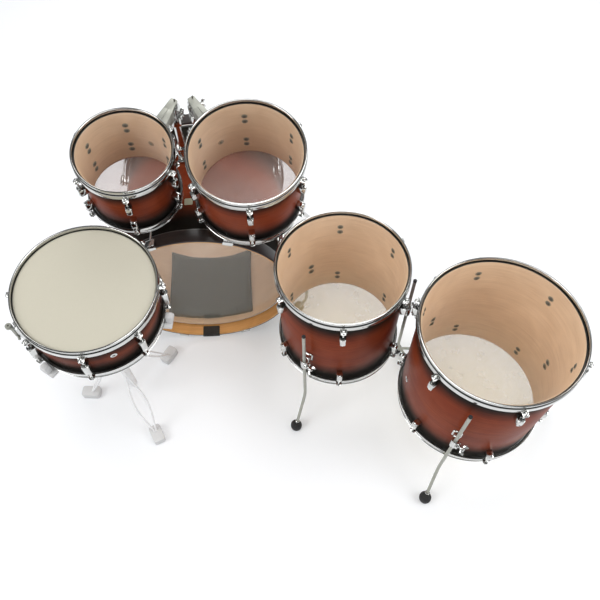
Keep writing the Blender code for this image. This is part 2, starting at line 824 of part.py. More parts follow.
def add_pad(frame):
    """Muffling pad that lies on the curved floor of the bass shell, crowned on top and thin at its rim."""
    across = 10
    along = 6
    bm = bmesh.new()
    upper = {}
    lower = {}
    for i in range(across + 1):
        u = 2 * i / across - 1
        for k in range(along + 1):
            v = 2 * k / along - 1
            rim = (1 - abs(u) ** 5) * (1 - abs(v) ** 5)
            height = PAD_THICKNESS * (0.45 + 0.55 * rim ** 0.5) + PAD_CROWN * (1 - u * u) * (1 - v * v)
            angle = 270 + PAD_SHIFT + u * PAD_HALF_ANGLE
            rest = BASS.side_radius(BASS.radius - BASS.wall, angle) - GAP
            z = -PAD_FRONT - PAD_LENGTH * (v + 1) / 2
            upper[i, k] = bm.verts.new(polar(rest - height, angle, z))
            lower[i, k] = bm.verts.new(polar(rest, angle, z))
    for i in range(across):
        for k in range(along):
            bm.faces.new((upper[i, k], upper[i + 1, k], upper[i + 1, k + 1], upper[i, k + 1]))
            bm.faces.new((lower[i, k], lower[i, k + 1], lower[i + 1, k + 1], lower[i + 1, k]))
    for i in range(across):
        for k in (0, along):
            bm.faces.new((upper[i, k], lower[i, k], lower[i + 1, k], upper[i + 1, k]))
    for k in range(along):
        for i in (0, across):
            bm.faces.new((upper[i, k], upper[i, k + 1], lower[i, k + 1], lower[i, k]))
    bmesh.ops.recalc_face_normals(bm, faces=bm.faces)
    add_part("bass_muffling_pad", mesh_from(bm), frame, FELT)


def add_spur(kit, sign, name):
    """One folding spur: eye, leg and rubber tip, with its origin on the hinge."""
    foot, pivot, axis, out, root = spur_pivot(sign)
    hinge = make_frame("spur_" + name + "_hinge", Matrix.Translation(pivot), kit)
    half = axis * (SPUR_EYE_WIDTH / 2)
    eye = rod(-half, half, SPUR_EYE_RADIUS, 12)
    leg = rod((0, 0, 0), foot - pivot, SPUR_LEG_RADIUS, 8)
    tip = rod(
        Vector((foot.x, foot.y, 0)) - pivot,
        Vector((foot.x, foot.y, RUBBER_HEIGHT)) - pivot,
        RUBBER_RADIUS,
        12,
        RUBBER_RADIUS * 0.8,
    )
    add_part("spur_" + name, joined([eye, leg, tip]), hinge, STEEL)


def holder_point(matrix, depth, x, y):
    """Where the bracket's radial plane, a depth below the head, meets the post's upright line."""
    up = matrix.col[2].to_3d()
    middle = matrix.translation
    z = middle.z + (-depth - up.x * (x - middle.x) - up.y * (y - middle.y)) / up.z
    return Vector((x, y, z))


def add_holder_base(kit):
    """Plate on top of the bass shell with two receivers for the posts."""
    middle = (POST_SMALL_X + POST_LARGE_X) / 2
    top = BASS_HEIGHT + BASS.radius
    sink = 0.0200
    plate = block(
        (middle - BASE_LENGTH / 2, POST_Y - BASE_WIDTH / 2, top - sink),
        (middle + BASE_LENGTH / 2, POST_Y + BASE_WIDTH / 2, top + BASE_THICKNESS),
    )
    shapes = [plate]
    cuts = []
    for x in (POST_SMALL_X, POST_LARGE_X):
        shapes.append(rod((x, POST_Y, top), (x, POST_Y, top + RECEIVER_HEIGHT), RECEIVER_RADIUS, 12))
        side = -1 if x < middle else 1
        bolt = Vector((x + side * (RECEIVER_RADIUS - 0.0020), POST_Y, top + RECEIVER_HEIGHT * 0.6))
        shapes.append(wing_bolt(bolt, (side, 0, 0)))
        bore = POST_RADIUS + SLIDE
        cuts.append(rod((x, POST_Y, top - 2 * sink), (x, POST_Y, top + 2 * RECEIVER_HEIGHT), bore, 12))
    saddle = clear_of_shell(BASS, -BASS.depth)
    saddle.transform(bass_matrix())
    add_part("tom_holder_base", joined(shapes, [saddle] + cuts), kit, STEEL)


def clear_of_shell(drum, low):
    """The space that a drum's shell takes up, a gap larger, from its head down to a height."""
    reach = drum.radius + GAP
    space = turned([(0.0, 0.0), (reach, 0.0), (reach, low), (0.0, low)], drum.sides)
    return moved(space, about_z(drum.turn))


def add_holder(kit, size, matrix, drum, depth, x):
    """Post, tilter, arm and tom bracket of one rack tom."""
    spot = holder_point(matrix, depth, x, POST_Y)
    local = matrix.inverted() @ spot
    angle = math.degrees(math.atan2(local.y, local.x))
    inward = (matrix.to_3x3() @ -polar(1, angle, 0)).normalized()
    axis = Vector((0, 0, 1)).cross(inward).normalized()
    post_bottom = BASS_HEIGHT + BASS.radius - POST_DIP
    post_top = spot.z - POST_TOP_UNDER_TILTER
    post_frame = make_frame("tom_post_" + size + "_axis", Matrix.Translation((x, POST_Y, 0)), kit)
    add_part(
        "tom_post_" + size,
        rod((0, 0, post_bottom), (0, 0, post_top - GAP), POST_RADIUS, 12),
        post_frame,
        STEEL,
    )
    tilt_frame = make_frame("tom_tilter_" + size + "_axis", Matrix.Translation(spot), kit)
    add_part("tom_tilter_" + size, tilter_shape(axis), tilt_frame, STEEL)
    pivot_reach = local.to_2d().length - drum.radius
    reach = pivot_reach - ARM_END
    eye_half = axis * (TILTER_EYE_WIDTH / 2)
    arm = joined(
        [
            rod(-eye_half, eye_half, TILTER_EYE_RADIUS, 12),
            rod((0, 0, 0), inward * reach, ARM_RADIUS, 12),
        ]
    )
    add_part("tom_arm_" + size, arm, tilt_frame, STEEL)
    drum_frame = bpy.data.objects[drum.name + "_frame"]
    bracket = bracket_shape(drum, angle, depth, pivot_reach - BRACKET_TO_PIVOT)
    add_part(drum.name + "_bracket", bracket, drum_frame, STEEL)


def tilter_shape(axis):
    """Tilter housing: a collar over the post and two cheeks beside the arm's eye."""
    clear = TILTER_EYE_WIDTH / 2 + GAP
    side = Matrix((axis, Vector((0, 0, 1)).cross(axis), Vector((0, 0, 1)))).transposed().to_4x4()
    floor = -TILTER_EYE_RADIUS - 2 * GAP
    outer = clear + TILTER_CHEEK
    yoke_low = -POST_TOP_UNDER_TILTER - 0.0060
    yoke = block((-outer, -TILTER_EYE_RADIUS, yoke_low), (outer, TILTER_EYE_RADIUS, 0.0180))
    slot = block((-clear, -0.0500, floor), (clear, 0.0500, 0.0500))
    collar = rod((0, 0, -TILTER_COLLAR_DROP), (0, 0, floor - GAP), TILTER_COLLAR_RADIUS, 12)
    bolt = wing_bolt((outer - 0.0020, 0, 0.0040), (1, 0, 0))
    bore = rod(
        (0, 0, -TILTER_COLLAR_DROP - 0.0200),
        (0, 0, -POST_TOP_UNDER_TILTER),
        (POST_RADIUS + SPIN) / math.cos(math.pi / 12),
        12,
    )
    shape = joined([yoke, collar, bolt], [slot, bore])
    shape.transform(side)
    return shape


def bracket_shape(drum, angle, depth, reach):
    """Tom bracket: a plate that follows the shell and a housing with a narrower nose for the arm."""
    r = drum.radius
    plate = block(
        (r * 0.94, -BRACKET_PLATE_WIDTH / 2, -depth - BRACKET_PLATE_HEIGHT / 2),
        (r + BRACKET_PLATE_THICKNESS, BRACKET_PLATE_WIDTH / 2, -depth + BRACKET_PLATE_HEIGHT / 2),
    )
    wide = BRACKET_WIDTH / 2
    narrow = BRACKET_NOSE_WIDTH / 2
    outline = [
        (r + BRACKET_PLATE_THICKNESS / 2, -wide),
        (r + BRACKET_SHOULDER, -wide),
        (r + reach, -narrow),
        (r + reach, narrow),
        (r + BRACKET_SHOULDER, wide),
        (r + BRACKET_PLATE_THICKNESS / 2, wide),
    ]
    housing = prism(outline, -depth - BRACKET_HEIGHT / 2, -depth + BRACKET_HEIGHT / 2)
    share = (BRACKET_BOLT - BRACKET_SHOULDER) / (reach - BRACKET_SHOULDER)
    flank = wide + (narrow - wide) * share
    bolt = wing_bolt((r + BRACKET_BOLT, flank - 0.0020, -depth), (0, 1, 0))
    bore = rod(
        (r + ARM_END - GAP, 0, -depth),
        (r + reach * 1.5, 0, -depth),
        ARM_RADIUS + SLIDE,
        12,
    )
    shape = moved(joined([plate, housing, bolt], [bore]), about_z(angle))
    return joined([shape], [clear_of_shell(drum, -drum.depth)])


def build_rack_tom(kit, drum, place, lean):
    """One rack tom without its holder."""
    frame = make_frame(drum.name + "_frame", drum_matrix(place, lean), kit)
    add_shell(drum, frame, BURST_LACQUER)
    add_heads(drum, frame, CLEAR_HEAD, CLEAR_HEAD, "resonant")
    add_steel_hoops(drum, frame, STEEL)


def leg_bracket(drum, height):
    """Leg bracket on the +X side of a floor tom's shell, with its wing bolt."""
    r = drum.radius
    body = block(
        (r - 0.0030, -LEG_BRACKET_WIDTH / 2, height - LEG_BRACKET_HEIGHT / 2),
        (r + LEG_BRACKET_REACH, LEG_BRACKET_WIDTH / 2, height + LEG_BRACKET_HEIGHT / 2),
    )
    bolt = wing_bolt((r + LEG_STANDOFF, LEG_BRACKET_WIDTH / 2 - 0.0020, height), (0.35, 1, 0))
    return joined([body, bolt])


def build_floor_tom(kit, drum, place, leg_angles, leg_top, bracket, bend, spread):
    """One floor tom with three legs that slide in their brackets. Heights are above the floor."""
    frame = make_frame(drum.name + "_frame", drum_matrix(place), kit)
    shell = add_shell(drum, frame, BURST_LACQUER)
    height = bracket - place[2]
    apply_tool(shell, around(leg_bracket(drum, height), leg_angles), "UNION")
    leg_circle = drum.radius + LEG_STANDOFF
    bore = rod(
        (leg_circle, 0, height - LEG_BRACKET_HEIGHT),
        (leg_circle, 0, height + LEG_BRACKET_HEIGHT),
        LEG_RADIUS + SLIDE,
        8,
    )
    cuts = around(bore, leg_angles)
    apply_tool(shell, cuts, "DIFFERENCE")
    add_heads(drum, frame, CLEAR_HEAD, CLEAR_HEAD, "resonant")
    add_steel_hoops(drum, frame, STEEL)
    for number, angle in enumerate(leg_angles, 1):
        out = Matrix.Translation((leg_circle, 0, -place[2]))
        line = Matrix.Translation(Vector(place)) @ about_z(angle) @ out
        leg_frame = make_frame(drum.name + "_leg_axis_" + str(number), line, kit)
        add_part(drum.name + "_leg_" + str(number), leg_shape(leg_top, bend, spread), leg_frame, STEEL)
    return shell


def leg_shape(top, bend, spread):
    """Bent leg with a rubber foot, standing on the floor."""
    run = spread * LEG_BEND / (bend - LEG_FOOT_HEIGHT)
    end = LEG_FOOT_HEIGHT * 0.5
    bar = bent_rod(
        [(0, 0, top), (0, 0, bend + LEG_BEND / 2), (run / 2, 0, bend - LEG_BEND / 2), (spread, 0, end)],
        LEG_RADIUS,
    )
    r = LEG_FOOT_RADIUS
    h = LEG_FOOT_HEIGHT
    foot = turned(
        [(0, h), (r * 0.55, h * 0.94), (r, h * 0.55), (r * 0.92, h * 0.2), (r * 0.6, 0), (0, 0)], 10
    )
    return joined([moved(foot, Matrix.Translation((spread, 0, 0))), bar])


def build_snare(kit):
    """Snare drum with its strainer, lever, butt and wires."""
    frame = make_frame("snare_frame", drum_matrix(SNARE_PLACE, SNARE_LEAN), kit)
    shell = add_shell(SNARE, frame, BURST_LACQUER)
    r = SNARE.radius
    strainer = block(
        (r - 0.0030, -STRAINER_WIDTH / 2, -STRAINER_BOTTOM),
        (r + STRAINER_REACH, STRAINER_WIDTH / 2, -STRAINER_TOP),
    )
    butt = block(
        (r - 0.0030, -BUTT_WIDTH / 2, -STRAINER_BOTTOM),
        (r + BUTT_REACH, BUTT_WIDTH / 2, -BUTT_TOP),
    )
    across = STRAINER_ANGLE - 180
    fittings = together([moved(strainer, about_z(STRAINER_ANGLE)), moved(butt, about_z(across))])
    apply_tool(shell, fittings, "UNION")
    vent = rod((r - 0.02, 0, -SNARE_VENT_DEPTH), (r + 0.02, 0, -SNARE_VENT_DEPTH), VENT_RADIUS, 8)
    apply_tool(shell, moved(vent, about_z(SNARE_VENT_ANGLE)), "DIFFERENCE")
    add_heads(SNARE, frame, COATED_HEAD, CLEAR_HEAD, "resonant")
    long_lug = SNARE.depth - 2 * LUG_TOP
    rod_bottom = SNARE.depth - LUG_TOP - long_lug
    hoops = add_steel_hoops(SNARE, frame, STEEL, (long_lug, rod_bottom - LUG_TOP - GAP), False)
    gate = block(
        (r - 0.0100, -GATE_WIDTH / 2, -SNARE.depth - HOOP_RISE * 2),
        (r + GRIP_CLEAR, GATE_WIDTH / 2, -SNARE.depth + HOOP_STEP_TOP),
    )
    apply_tool(hoops[1], around(gate, (across, STRAINER_ANGLE)), "DIFFERENCE")
    add_snare_wires(frame, across)
    add_lever(frame)


def add_snare_wires(frame, across):
    """Wires under the resonant head, with end clips and straps up to the strainer and the butt."""
    top = -SNARE.depth - GAP
    half = (WIRE_COUNT - 1) / 2
    shapes = []
    strap_end = SNARE.radius + ROD_STANDOFF
    strap_top = -STRAINER_BOTTOM - GAP
    for sign in (-1, 1):
        clip = sorted((sign * WIRE_REACH, sign * (WIRE_REACH + WIRE_CLIP_LENGTH)))
        width = half * WIRE_PITCH + 2 * WIRE_RADIUS
        shapes.append(block((clip[0], -width, top - 3 * WIRE_RADIUS), (clip[1], width, top)))
        run = sorted((sign * (WIRE_REACH + WIRE_CLIP_LENGTH / 2), sign * strap_end))
        strap_low = top - STRAP_THICKNESS - WIRE_RADIUS / 2
        shapes.append(
            block((run[0], -STRAP_WIDTH / 2, strap_low), (run[1], STRAP_WIDTH / 2, top - WIRE_RADIUS / 2))
        )
        rise = sorted((sign * (strap_end - STRAP_THICKNESS), sign * strap_end))
        shapes.append(block((rise[0], -STRAP_WIDTH / 2, strap_low), (rise[1], STRAP_WIDTH / 2, strap_top)))
    wires = []
    for i in range(WIRE_COUNT):
        y = (i - half) * WIRE_PITCH
        z = top - 1.5 * WIRE_RADIUS
        end = WIRE_REACH + WIRE_CLIP_LENGTH / 2
        wires.append(rod((-end, y, z), (end, y, z), WIRE_RADIUS, 4))
    shapes.append(together(wires))
    add_part("snare_wires", moved(joined(shapes), about_z(across)), frame, STEEL)


def add_lever(frame):
    """Throw-off lever, with its origin on its hinge at the foot of the strainer."""
    matrix = about_z(STRAINER_ANGLE) @ Matrix.Translation(
        (SNARE.radius + STRAINER_REACH + GAP + LEVER_THICKNESS / 2, 0, -LEVER_PIVOT_DEPTH)
    )
    hinge = make_frame("throw_off_hinge", matrix, frame)
    half = LEVER_THICKNESS / 2
    blade = block((-half, -LEVER_WIDTH / 2, 0), (half, LEVER_WIDTH / 2, LEVER_LENGTH))
    knuckle = rod((0, -STRAINER_WIDTH / 2, 0), (0, STRAINER_WIDTH / 2, 0), half, 8)
    add_part("snare_throw_off_lever", joined([blade, knuckle]), hinge, STEEL)


def snare_pivot():
    """Hinge point of the stand's tilter, on the snare drum's axis."""
    matrix = drum_matrix(SNARE_PLACE, SNARE_LEAN)
    return matrix @ Vector((0, 0, -STAND_PIVOT_DEPTH))


def tilt_axis():
    """Level axis of the stand's tilter, across the snare drum's lean."""
    up = drum_matrix(SNARE_PLACE, SNARE_LEAN).col[2].to_3d()
    return Vector((0, 0, 1)).cross(up).normalized()


def build_stand(kit):
    """Snare stand: column, inner tube, basket and tripod."""
    column = make_frame("stand_axis", Matrix.Translation((STAND_X, STAND_Y, 0)), kit)
    add_column(column)
    add_inner_tube(column)
    for number, angle in enumerate(TRIPOD_ANGLES, 1):
        add_tripod_leg(column, angle, number)
    add_basket(kit)


def add_column(column):
    """Lower tube with its clamp at the top and the hub that carries the legs."""
    hub_low = TRIPOD_HUB_TOP - TRIPOD_HUB_HEIGHT
    bore = STAND_INNER_RADIUS + SLIDE
    shapes = [
        rod((0, 0, STAND_TUBE_BOTTOM), (0, 0, STAND_TUBE_TOP), STAND_TUBE_RADIUS, 12),
        rod(
            (0, 0, STAND_TUBE_TOP - STAND_CLAMP_HEIGHT),
            (0, 0, STAND_TUBE_TOP + 0.0020),
            STAND_CLAMP_RADIUS,
            12,
        ),
        rod((0, 0, hub_low), (0, 0, TRIPOD_HUB_TOP), TRIPOD_HUB_RADIUS, 12),
        wing_bolt((0, -STAND_CLAMP_RADIUS + 0.0020, STAND_TUBE_TOP - STAND_CLAMP_HEIGHT / 2), (0, -1, 0)),
    ]
    for angle in TRIPOD_ANGLES:
        clear = TRIPOD_THICKNESS / 2 + GAP
        ear = block(
            (TRIPOD_HUB_RADIUS - 0.0040, clear, hub_low),
            (TRIPOD_HUB_RADIUS + 0.0150, clear + TRIPOD_EAR / 2, TRIPOD_HUB_TOP),
        )
        ears = together([ear, across_x(ear)])
        shapes.append(moved(ears, about_z(angle)))
    inside = rod((0, 0, STAND_TUBE_BOTTOM + 0.0100), (0, 0, STAND_TUBE_TOP + 0.0500), bore, 12)
    add_part("stand_column", joined(shapes, [inside]), column, PALE_STEEL)


def add_inner_tube(column):
    """Upper tube, with an offset yoke for the tilter on top."""
    pivot = snare_pivot() - Vector((STAND_X, STAND_Y, 0))
    axis = tilt_axis()
    clear = TILTER_EYE_WIDTH / 2 + GAP
    outer = clear + TILTER_CHEEK
    side = Matrix((axis, Vector((0, 0, 1)).cross(axis), Vector((0, 0, 1)))).transposed().to_4x4()
    yoke = block((-outer, -TILTER_EYE_RADIUS, -0.0360), (outer, TILTER_EYE_RADIUS, 0.0120))
    slot = block((-clear, -0.0500, -TILTER_EYE_RADIUS - 2 * GAP), (clear, 0.0500, 0.0500))
    place = Matrix.Translation(pivot) @ side
    yoke.transform(place)
    slot.transform(place)
    tube_top = pivot.z - 0.0220
    bridge = rod((0, 0, tube_top - 0.0200), (pivot.x, pivot.y, tube_top - 0.0060), 0.0120, 8)
    cap = rod((0, 0, tube_top - 0.0340), (0, 0, tube_top - 0.0060), 0.0140, 12)
    tube = rod((0, 0, STAND_INNER_BOTTOM), (0, 0, tube_top - 0.0200), STAND_INNER_RADIUS, 12)
    bolt = wing_bolt((outer - 0.0020, 0, 0), (1, 0, 0))
    bolt.transform(place)
    add_part("stand_inner_tube", joined([tube, cap, bridge, yoke, bolt], [slot]), column, PALE_STEEL)


def add_tripod_leg(column, angle, number):
    """One leg: a flat strip that splits into a lens and meets again at the rubber foot."""
    pivot_r = TRIPOD_HUB_RADIUS + 0.0080
    pivot_z = TRIPOD_HUB_TOP - TRIPOD_HUB_HEIGHT / 2
    matrix = about_z(angle) @ Matrix.Translation((pivot_r, 0, pivot_z))
    hinge = make_frame("stand_leg_hinge_" + str(number), matrix, column)
    run = TRIPOD_SPREAD - pivot_r
    drop = pivot_z - TRIPOD_FOOT_HEIGHT * 0.5
    length = math.hypot(run, drop)
    down = Matrix.Rotation(math.atan2(drop, run), 4, "Y")
    steps = 6
    outer = [
        (0.028 + (length - 0.028) * i / steps, bow(i / steps) + TRIPOD_STRIP / 2) for i in range(steps + 1)
    ]
    outline = [(0.028, -TRIPOD_STRIP / 2)] + outer + [(x, -y) for x, y in reversed(outer[1:])]
    inner = [(x, y - TRIPOD_STRIP) for x, y in outer if y > TRIPOD_STRIP * 1.05]
    hole = inner + [(x, -y) for x, y in reversed(inner)]
    lens = flat_plate([outline, hole], TRIPOD_THICKNESS)
    neck = block((0, -TRIPOD_THICKNESS / 2, -0.0050), (0.034, TRIPOD_THICKNESS / 2, 0.0050))
    eye = rod((0, -TRIPOD_THICKNESS / 2, 0), (0, TRIPOD_THICKNESS / 2, 0), 0.0068, 12)
    strip = joined([neck, lens, eye])
    strip.transform(down)
    half = TRIPOD_FOOT_LENGTH / 2
    foot = turned_foot(half)
    foot.transform(Matrix.Translation((run, 0, -pivot_z)))
    add_part("stand_leg_" + str(number), joined([strip, foot]), hinge, PALE_STEEL)


def bow(t):
    """Sideways bow of a leg's strip, from 0 at its ends to the full bow at the middle."""
    return TRIPOD_BOW * math.sin(math.pi * t) ** 1.5


def turned_foot(half):
    """Rubber foot of a tripod leg: a low rounded block, flat underneath."""
    width = TRIPOD_FOOT_WIDTH / 2
    outline = []
    for i in range(10):
        turn = 2 * math.pi * i / 10
        outline.append((half * math.cos(turn), width * math.sin(turn)))
    bm = bmesh.new()
    rings = []
    for level, scale in ((0.0, 0.90), (0.45, 1.0), (1.0, 0.62)):
        z = TRIPOD_FOOT_HEIGHT * level
        rings.append([bm.verts.new((x * scale, y * scale, z)) for x, y in outline])
    for a, b in zip(rings, rings[1:]):
        for k in range(len(outline)):
            bm.faces.new((a[k - 1], a[k], b[k], b[k - 1]))
    bm.faces.new(list(reversed(rings[0])))
    bm.faces.new(rings[-1])
    bmesh.ops.recalc_face_normals(bm, faces=bm.faces)
    return mesh_from(bm)


def add_basket(kit):
    """Basket hub on the tilter, and three arms with rubber grips under the snare drum's hoop."""
    frame = bpy.data.objects["snare_frame"]
    axis = drum_matrix(SNARE_PLACE, SNARE_LEAN).to_3x3().inverted() @ tilt_axis()
    pivot = Vector((0, 0, -STAND_PIVOT_DEPTH))
    half = axis * (TILTER_EYE_WIDTH / 2)
    hub_low = -BASKET_HUB_TOP - 0.0220
    shapes = [
        rod(pivot - half, pivot + half, TILTER_EYE_RADIUS, 12),
        rod(pivot, (0, 0, hub_low + 0.0040), 0.0060, 8),
        rod((0, 0, hub_low), (0, 0, -BASKET_HUB_TOP), BASKET_HUB_RADIUS, 12),
    ]
    middle = -BASKET_HUB_TOP - 0.0110
    for angle in BASKET_ANGLES:
        clear = BASKET_ARM_RADIUS + GAP
        ear = block(
            (BASKET_HUB_RADIUS - 0.0040, clear, hub_low),
            (BASKET_PIVOT_RADIUS + 0.0060, clear + 0.0040, -BASKET_HUB_TOP),
        )
        ears = together([ear, across_x(ear)])
        shapes.append(moved(ears, about_z(angle)))
    add_part("stand_basket_hub", joined(shapes), frame, PALE_STEEL)
    for number, angle in enumerate(BASKET_ANGLES, 1):
        matrix = about_z(angle) @ Matrix.Translation((BASKET_PIVOT_RADIUS, 0, middle))
        hinge = make_frame("stand_basket_hinge_" + str(number), matrix, frame)
        add_part("stand_basket_arm_" + str(number), basket_arm(middle), hinge, PALE_STEEL)


def basket_arm(middle):
    """Basket arm and its grip, from the hinge outwards and up to the hoop."""
    lip = -SNARE.depth - HOOP_RISE - GAP - middle
    wall = SNARE.radius + GRIP_CLEAR - BASKET_PIVOT_RADIUS
    floor = lip - GRIP_FLOOR
    start = SNARE.radius - 0.0060 - BASKET_PIVOT_RADIUS
    bar = bent_rod(
        [
            (0, 0, 0),
            (wall * 0.25, 0, 0.0020),
            (wall * 0.8, 0, floor * 0.75),
            (wall, 0, floor + GRIP_FLOOR / 2),
        ],
        BASKET_ARM_RADIUS,
    )
    cradle = block(
        (start, -GRIP_WIDTH / 2, floor),
        (wall + GRIP_WALL, GRIP_WIDTH / 2, lip),
    )
    upright = block(
        (wall, -GRIP_UPRIGHT_WIDTH / 2, floor),
        (wall + GRIP_WALL, GRIP_UPRIGHT_WIDTH / 2, lip + GRIP_RISE),
    )
    return joined([cradle, upright, bar])


def build_kit():
    """Build every drum and its hardware under one frame."""
    kit = make_frame("kit_frame", Matrix.Translation((LAYOUT_X, LAYOUT_Y, 0)))
    build_bass(kit)
    add_holder_base(kit)
    small = drum_matrix(SMALL_TOM_PLACE, SMALL_TOM_LEAN)
    large = drum_matrix(LARGE_TOM_PLACE, LARGE_TOM_LEAN)
    build_rack_tom(kit, SMALL_TOM, SMALL_TOM_PLACE, SMALL_TOM_LEAN)
    build_rack_tom(kit, LARGE_TOM, LARGE_TOM_PLACE, LARGE_TOM_LEAN)
    add_holder(kit, "small", small, SMALL_TOM, SMALL_TOM_BRACKET_DEPTH, POST_SMALL_X)
    add_holder(kit, "large", large, LARGE_TOM, LARGE_TOM_BRACKET_DEPTH, POST_LARGE_X)
    build_floor_tom(
        kit,
        SMALL_FLOOR_TOM,
        SMALL_FLOOR_TOM_PLACE,
        (115.0, 235.0, 355.0),
        SMALL_LEG_TOP,
        SMALL_LEG_BRACKET,
        SMALL_LEG_BEND,
        SMALL_LEG_SPREAD,
    )
    large_shell = build_floor_tom(
        kit,
        LARGE_FLOOR_TOM,
        LARGE_FLOOR_TOM_PLACE,
        (1.0, 121.0, 241.0),
        LARGE_LEG_TOP,
        LARGE_LEG_BRACKET,
        LARGE_LEG_BEND,
        LARGE_LEG_SPREAD,
    )
    r = LARGE_FLOOR_TOM.radius
    vent = rod((r - 0.02, 0, -FLOOR_TOM_VENT_DEPTH), (r + 0.02, 0, -FLOOR_TOM_VENT_DEPTH), VENT_RADIUS, 8)
    apply_tool(large_shell, moved(vent, about_z(FLOOR_TOM_VENT_ANGLE)), "DIFFERENCE")
    build_snare(kit)
    build_stand(kit)


clear_scene()
PARTS = make_collection("drum_kit")
CUTTERS = make_collection("cutters")
BURST_LACQUER = finish("burst_lacquer", BURST, 0.30, 0.0)
DARK_LACQUER = finish("dark_lacquer", DARK_WOOD, 0.35, 0.0)
STEEL = finish("chromed_steel", CHROME, 0.12, 1.0)
CLEAR_HEAD = finish("clear_head", CLEAR_FILM, 0.20, 0.0)
COATED_HEAD = finish("coated_head", COATED_FILM, 0.60, 0.0)
RUBBER = finish("black_rubber", BLACK_RUBBER, 0.70, 0.0)
FELT = finish("grey_felt", GREY_FELT, 0.95, 0.0)
PALE_STEEL = finish("pale_steel", PALE_METAL, 0.45, 0.6)
build_kit()
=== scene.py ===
"""Looks of a drum kit: bass drum with two rack toms, two floor toms, and a snare drum on its stand.

Each class dresses one sub-assembly. A drum's own frame has +Z out of its batter head and its origin in the
middle of that head.
"""

import logging
import math
from dataclasses import dataclass, field
from enum import Enum
from typing import Iterable, Sequence

import bmesh
import bpy
from mathutils import Matrix, Vector


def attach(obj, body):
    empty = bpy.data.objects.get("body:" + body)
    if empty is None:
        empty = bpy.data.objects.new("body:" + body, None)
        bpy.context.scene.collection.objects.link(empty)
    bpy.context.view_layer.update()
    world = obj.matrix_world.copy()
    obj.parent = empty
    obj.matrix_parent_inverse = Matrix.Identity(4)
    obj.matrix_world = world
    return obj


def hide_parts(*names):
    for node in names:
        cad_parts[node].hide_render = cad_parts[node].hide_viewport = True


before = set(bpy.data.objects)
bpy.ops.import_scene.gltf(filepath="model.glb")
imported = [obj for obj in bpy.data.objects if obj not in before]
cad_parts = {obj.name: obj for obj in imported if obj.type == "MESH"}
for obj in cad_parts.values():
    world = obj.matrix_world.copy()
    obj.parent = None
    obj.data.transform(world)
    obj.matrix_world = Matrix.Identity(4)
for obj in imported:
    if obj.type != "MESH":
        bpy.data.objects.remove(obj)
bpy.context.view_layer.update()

LOG = logging.getLogger("drum_kit")

Point = Sequence[float]
Colour = tuple[float, float, float]
Material = bpy.types.Material
Finishes = Sequence[Material]
Mesh = bpy.types.Mesh
Node = bpy.types.Node
Socket = bpy.types.NodeSocket
Tree = bpy.types.NodeTree

# Place of the layout's origin, the floor point under the bass drum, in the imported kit
LAYOUT = Matrix.Translation((-0.32796, 0.31958, 0.0))

# Sizes that more than one sub-assembly uses
BASS_RADIUS = 0.2774
BASS_AXIS = 0.29109
POSTS_X = (-0.023, 0.039)
POSTS_Y = 0.085
TOM_WALL = 0.007
ROD_RADIUS = 0.003
SEAT = 0.0002
SINK = 0.0003
STRAINER_ANGLE = 204.5

# Directions, the turn that stands +Y up along +Z, and two mirrors
ORIGIN = (0, 0, 0)
UP = (0, 0, 1)
OUT = (1, 0, 0)
IN = (-1, 0, 0)
STANDING = Matrix(((1, 0, 0), (0, 0, -1), (0, 1, 0))).to_4x4()
MIRROR_X = Matrix.Diagonal((-1, 1, 1, 1))
MIRROR_Y = Matrix.Diagonal((1, -1, 1, 1))

# Share of a side that a rounded corner may take up, and the angle in radians from which a block's edge is rounded
WIDEST_BEND = 0.49
SHARP = 0.6


class End(Enum):
    """The two ends of a drum."""

    BATTER = 1
    OTHER = -1


class Film(Enum):
    """Kinds of drumhead."""

    CLEAR = "clear"
    COATED = "coated"


# Shapes


@dataclass
class Form:
    """Closed shapes as points and faces, each face with the number of its finish."""

    points: list[Vector] = field(default_factory=list)
    faces: list[tuple[int, ...]] = field(default_factory=list)
    finishes: list[int] = field(default_factory=list)

    def plus(self, *others: "Form") -> "Form":
        """Put several forms together.

        Args:
            others: Forms that are added to this one.

        Returns:
            One form that holds them all.
        """
        whole = Form(list(self.points), list(self.faces), list(self.finishes))
        for other in others:
            first = len(whole.points)
            whole.points += other.points
            whole.faces += [tuple(first + i for i in face) for face in other.faces]
            whole.finishes += other.finishes
        return whole

    def moved(self, matrix: Matrix) -> "Form":
        """Copy the form to another place.

        Args:
            matrix: The move. A mirroring one turns the faces round, so that they still point out.

        Returns:
            The moved copy.
        """
        faces = self.faces
        if matrix.determinant() < 0:
            faces = [tuple(reversed(face)) for face in faces]
        return Form([matrix @ point for point in self.points], list(faces), list(self.finishes))

    def in_finish(self, number: int) -> "Form":
        """The same form with all its faces in one finish."""
        return Form(self.points, self.faces, [number] * len(self.faces))

    def outward(self) -> "Form":
        """The same closed form with its faces pointing out.

        Returns:
            The form itself, or a copy with its faces turned round.
        """
        volume = 0.0
        for face in self.faces:
            a = self.points[face[0]]
            for i in range(1, len(face) - 1):
                volume += a.dot(self.points[face[i]].cross(self.points[face[i + 1]]))
        if volume >= 0:
            return self
        return Form(self.points, [tuple(reversed(face)) for face in self.faces], self.finishes)

    def mesh(self, name: str) -> Mesh:
        """Turn the form into a Blender mesh.

        Args:
            name: The mesh's name.

        Returns:
            The mesh, without finishes.
        """
        mesh = bpy.data.meshes.new(name)
        mesh.from_pydata(self.points, [], self.faces)
        return mesh


def polar(radius: float, angle: float, height: float) -> Vector:
    """A point from its radius, angle in degrees and height."""
    turn = math.radians(angle)
    return Vector((radius * math.cos(turn), radius * math.sin(turn), height))


def about_z(angle: float) -> Matrix:
    """Turn by an angle in degrees about Z."""
    return Matrix.Rotation(math.radians(angle), 4, "Z")


def shift(x: float, y: float, z: float) -> Matrix:
    """Move by a distance along each axis."""
    return Matrix.Translation((x, y, z))


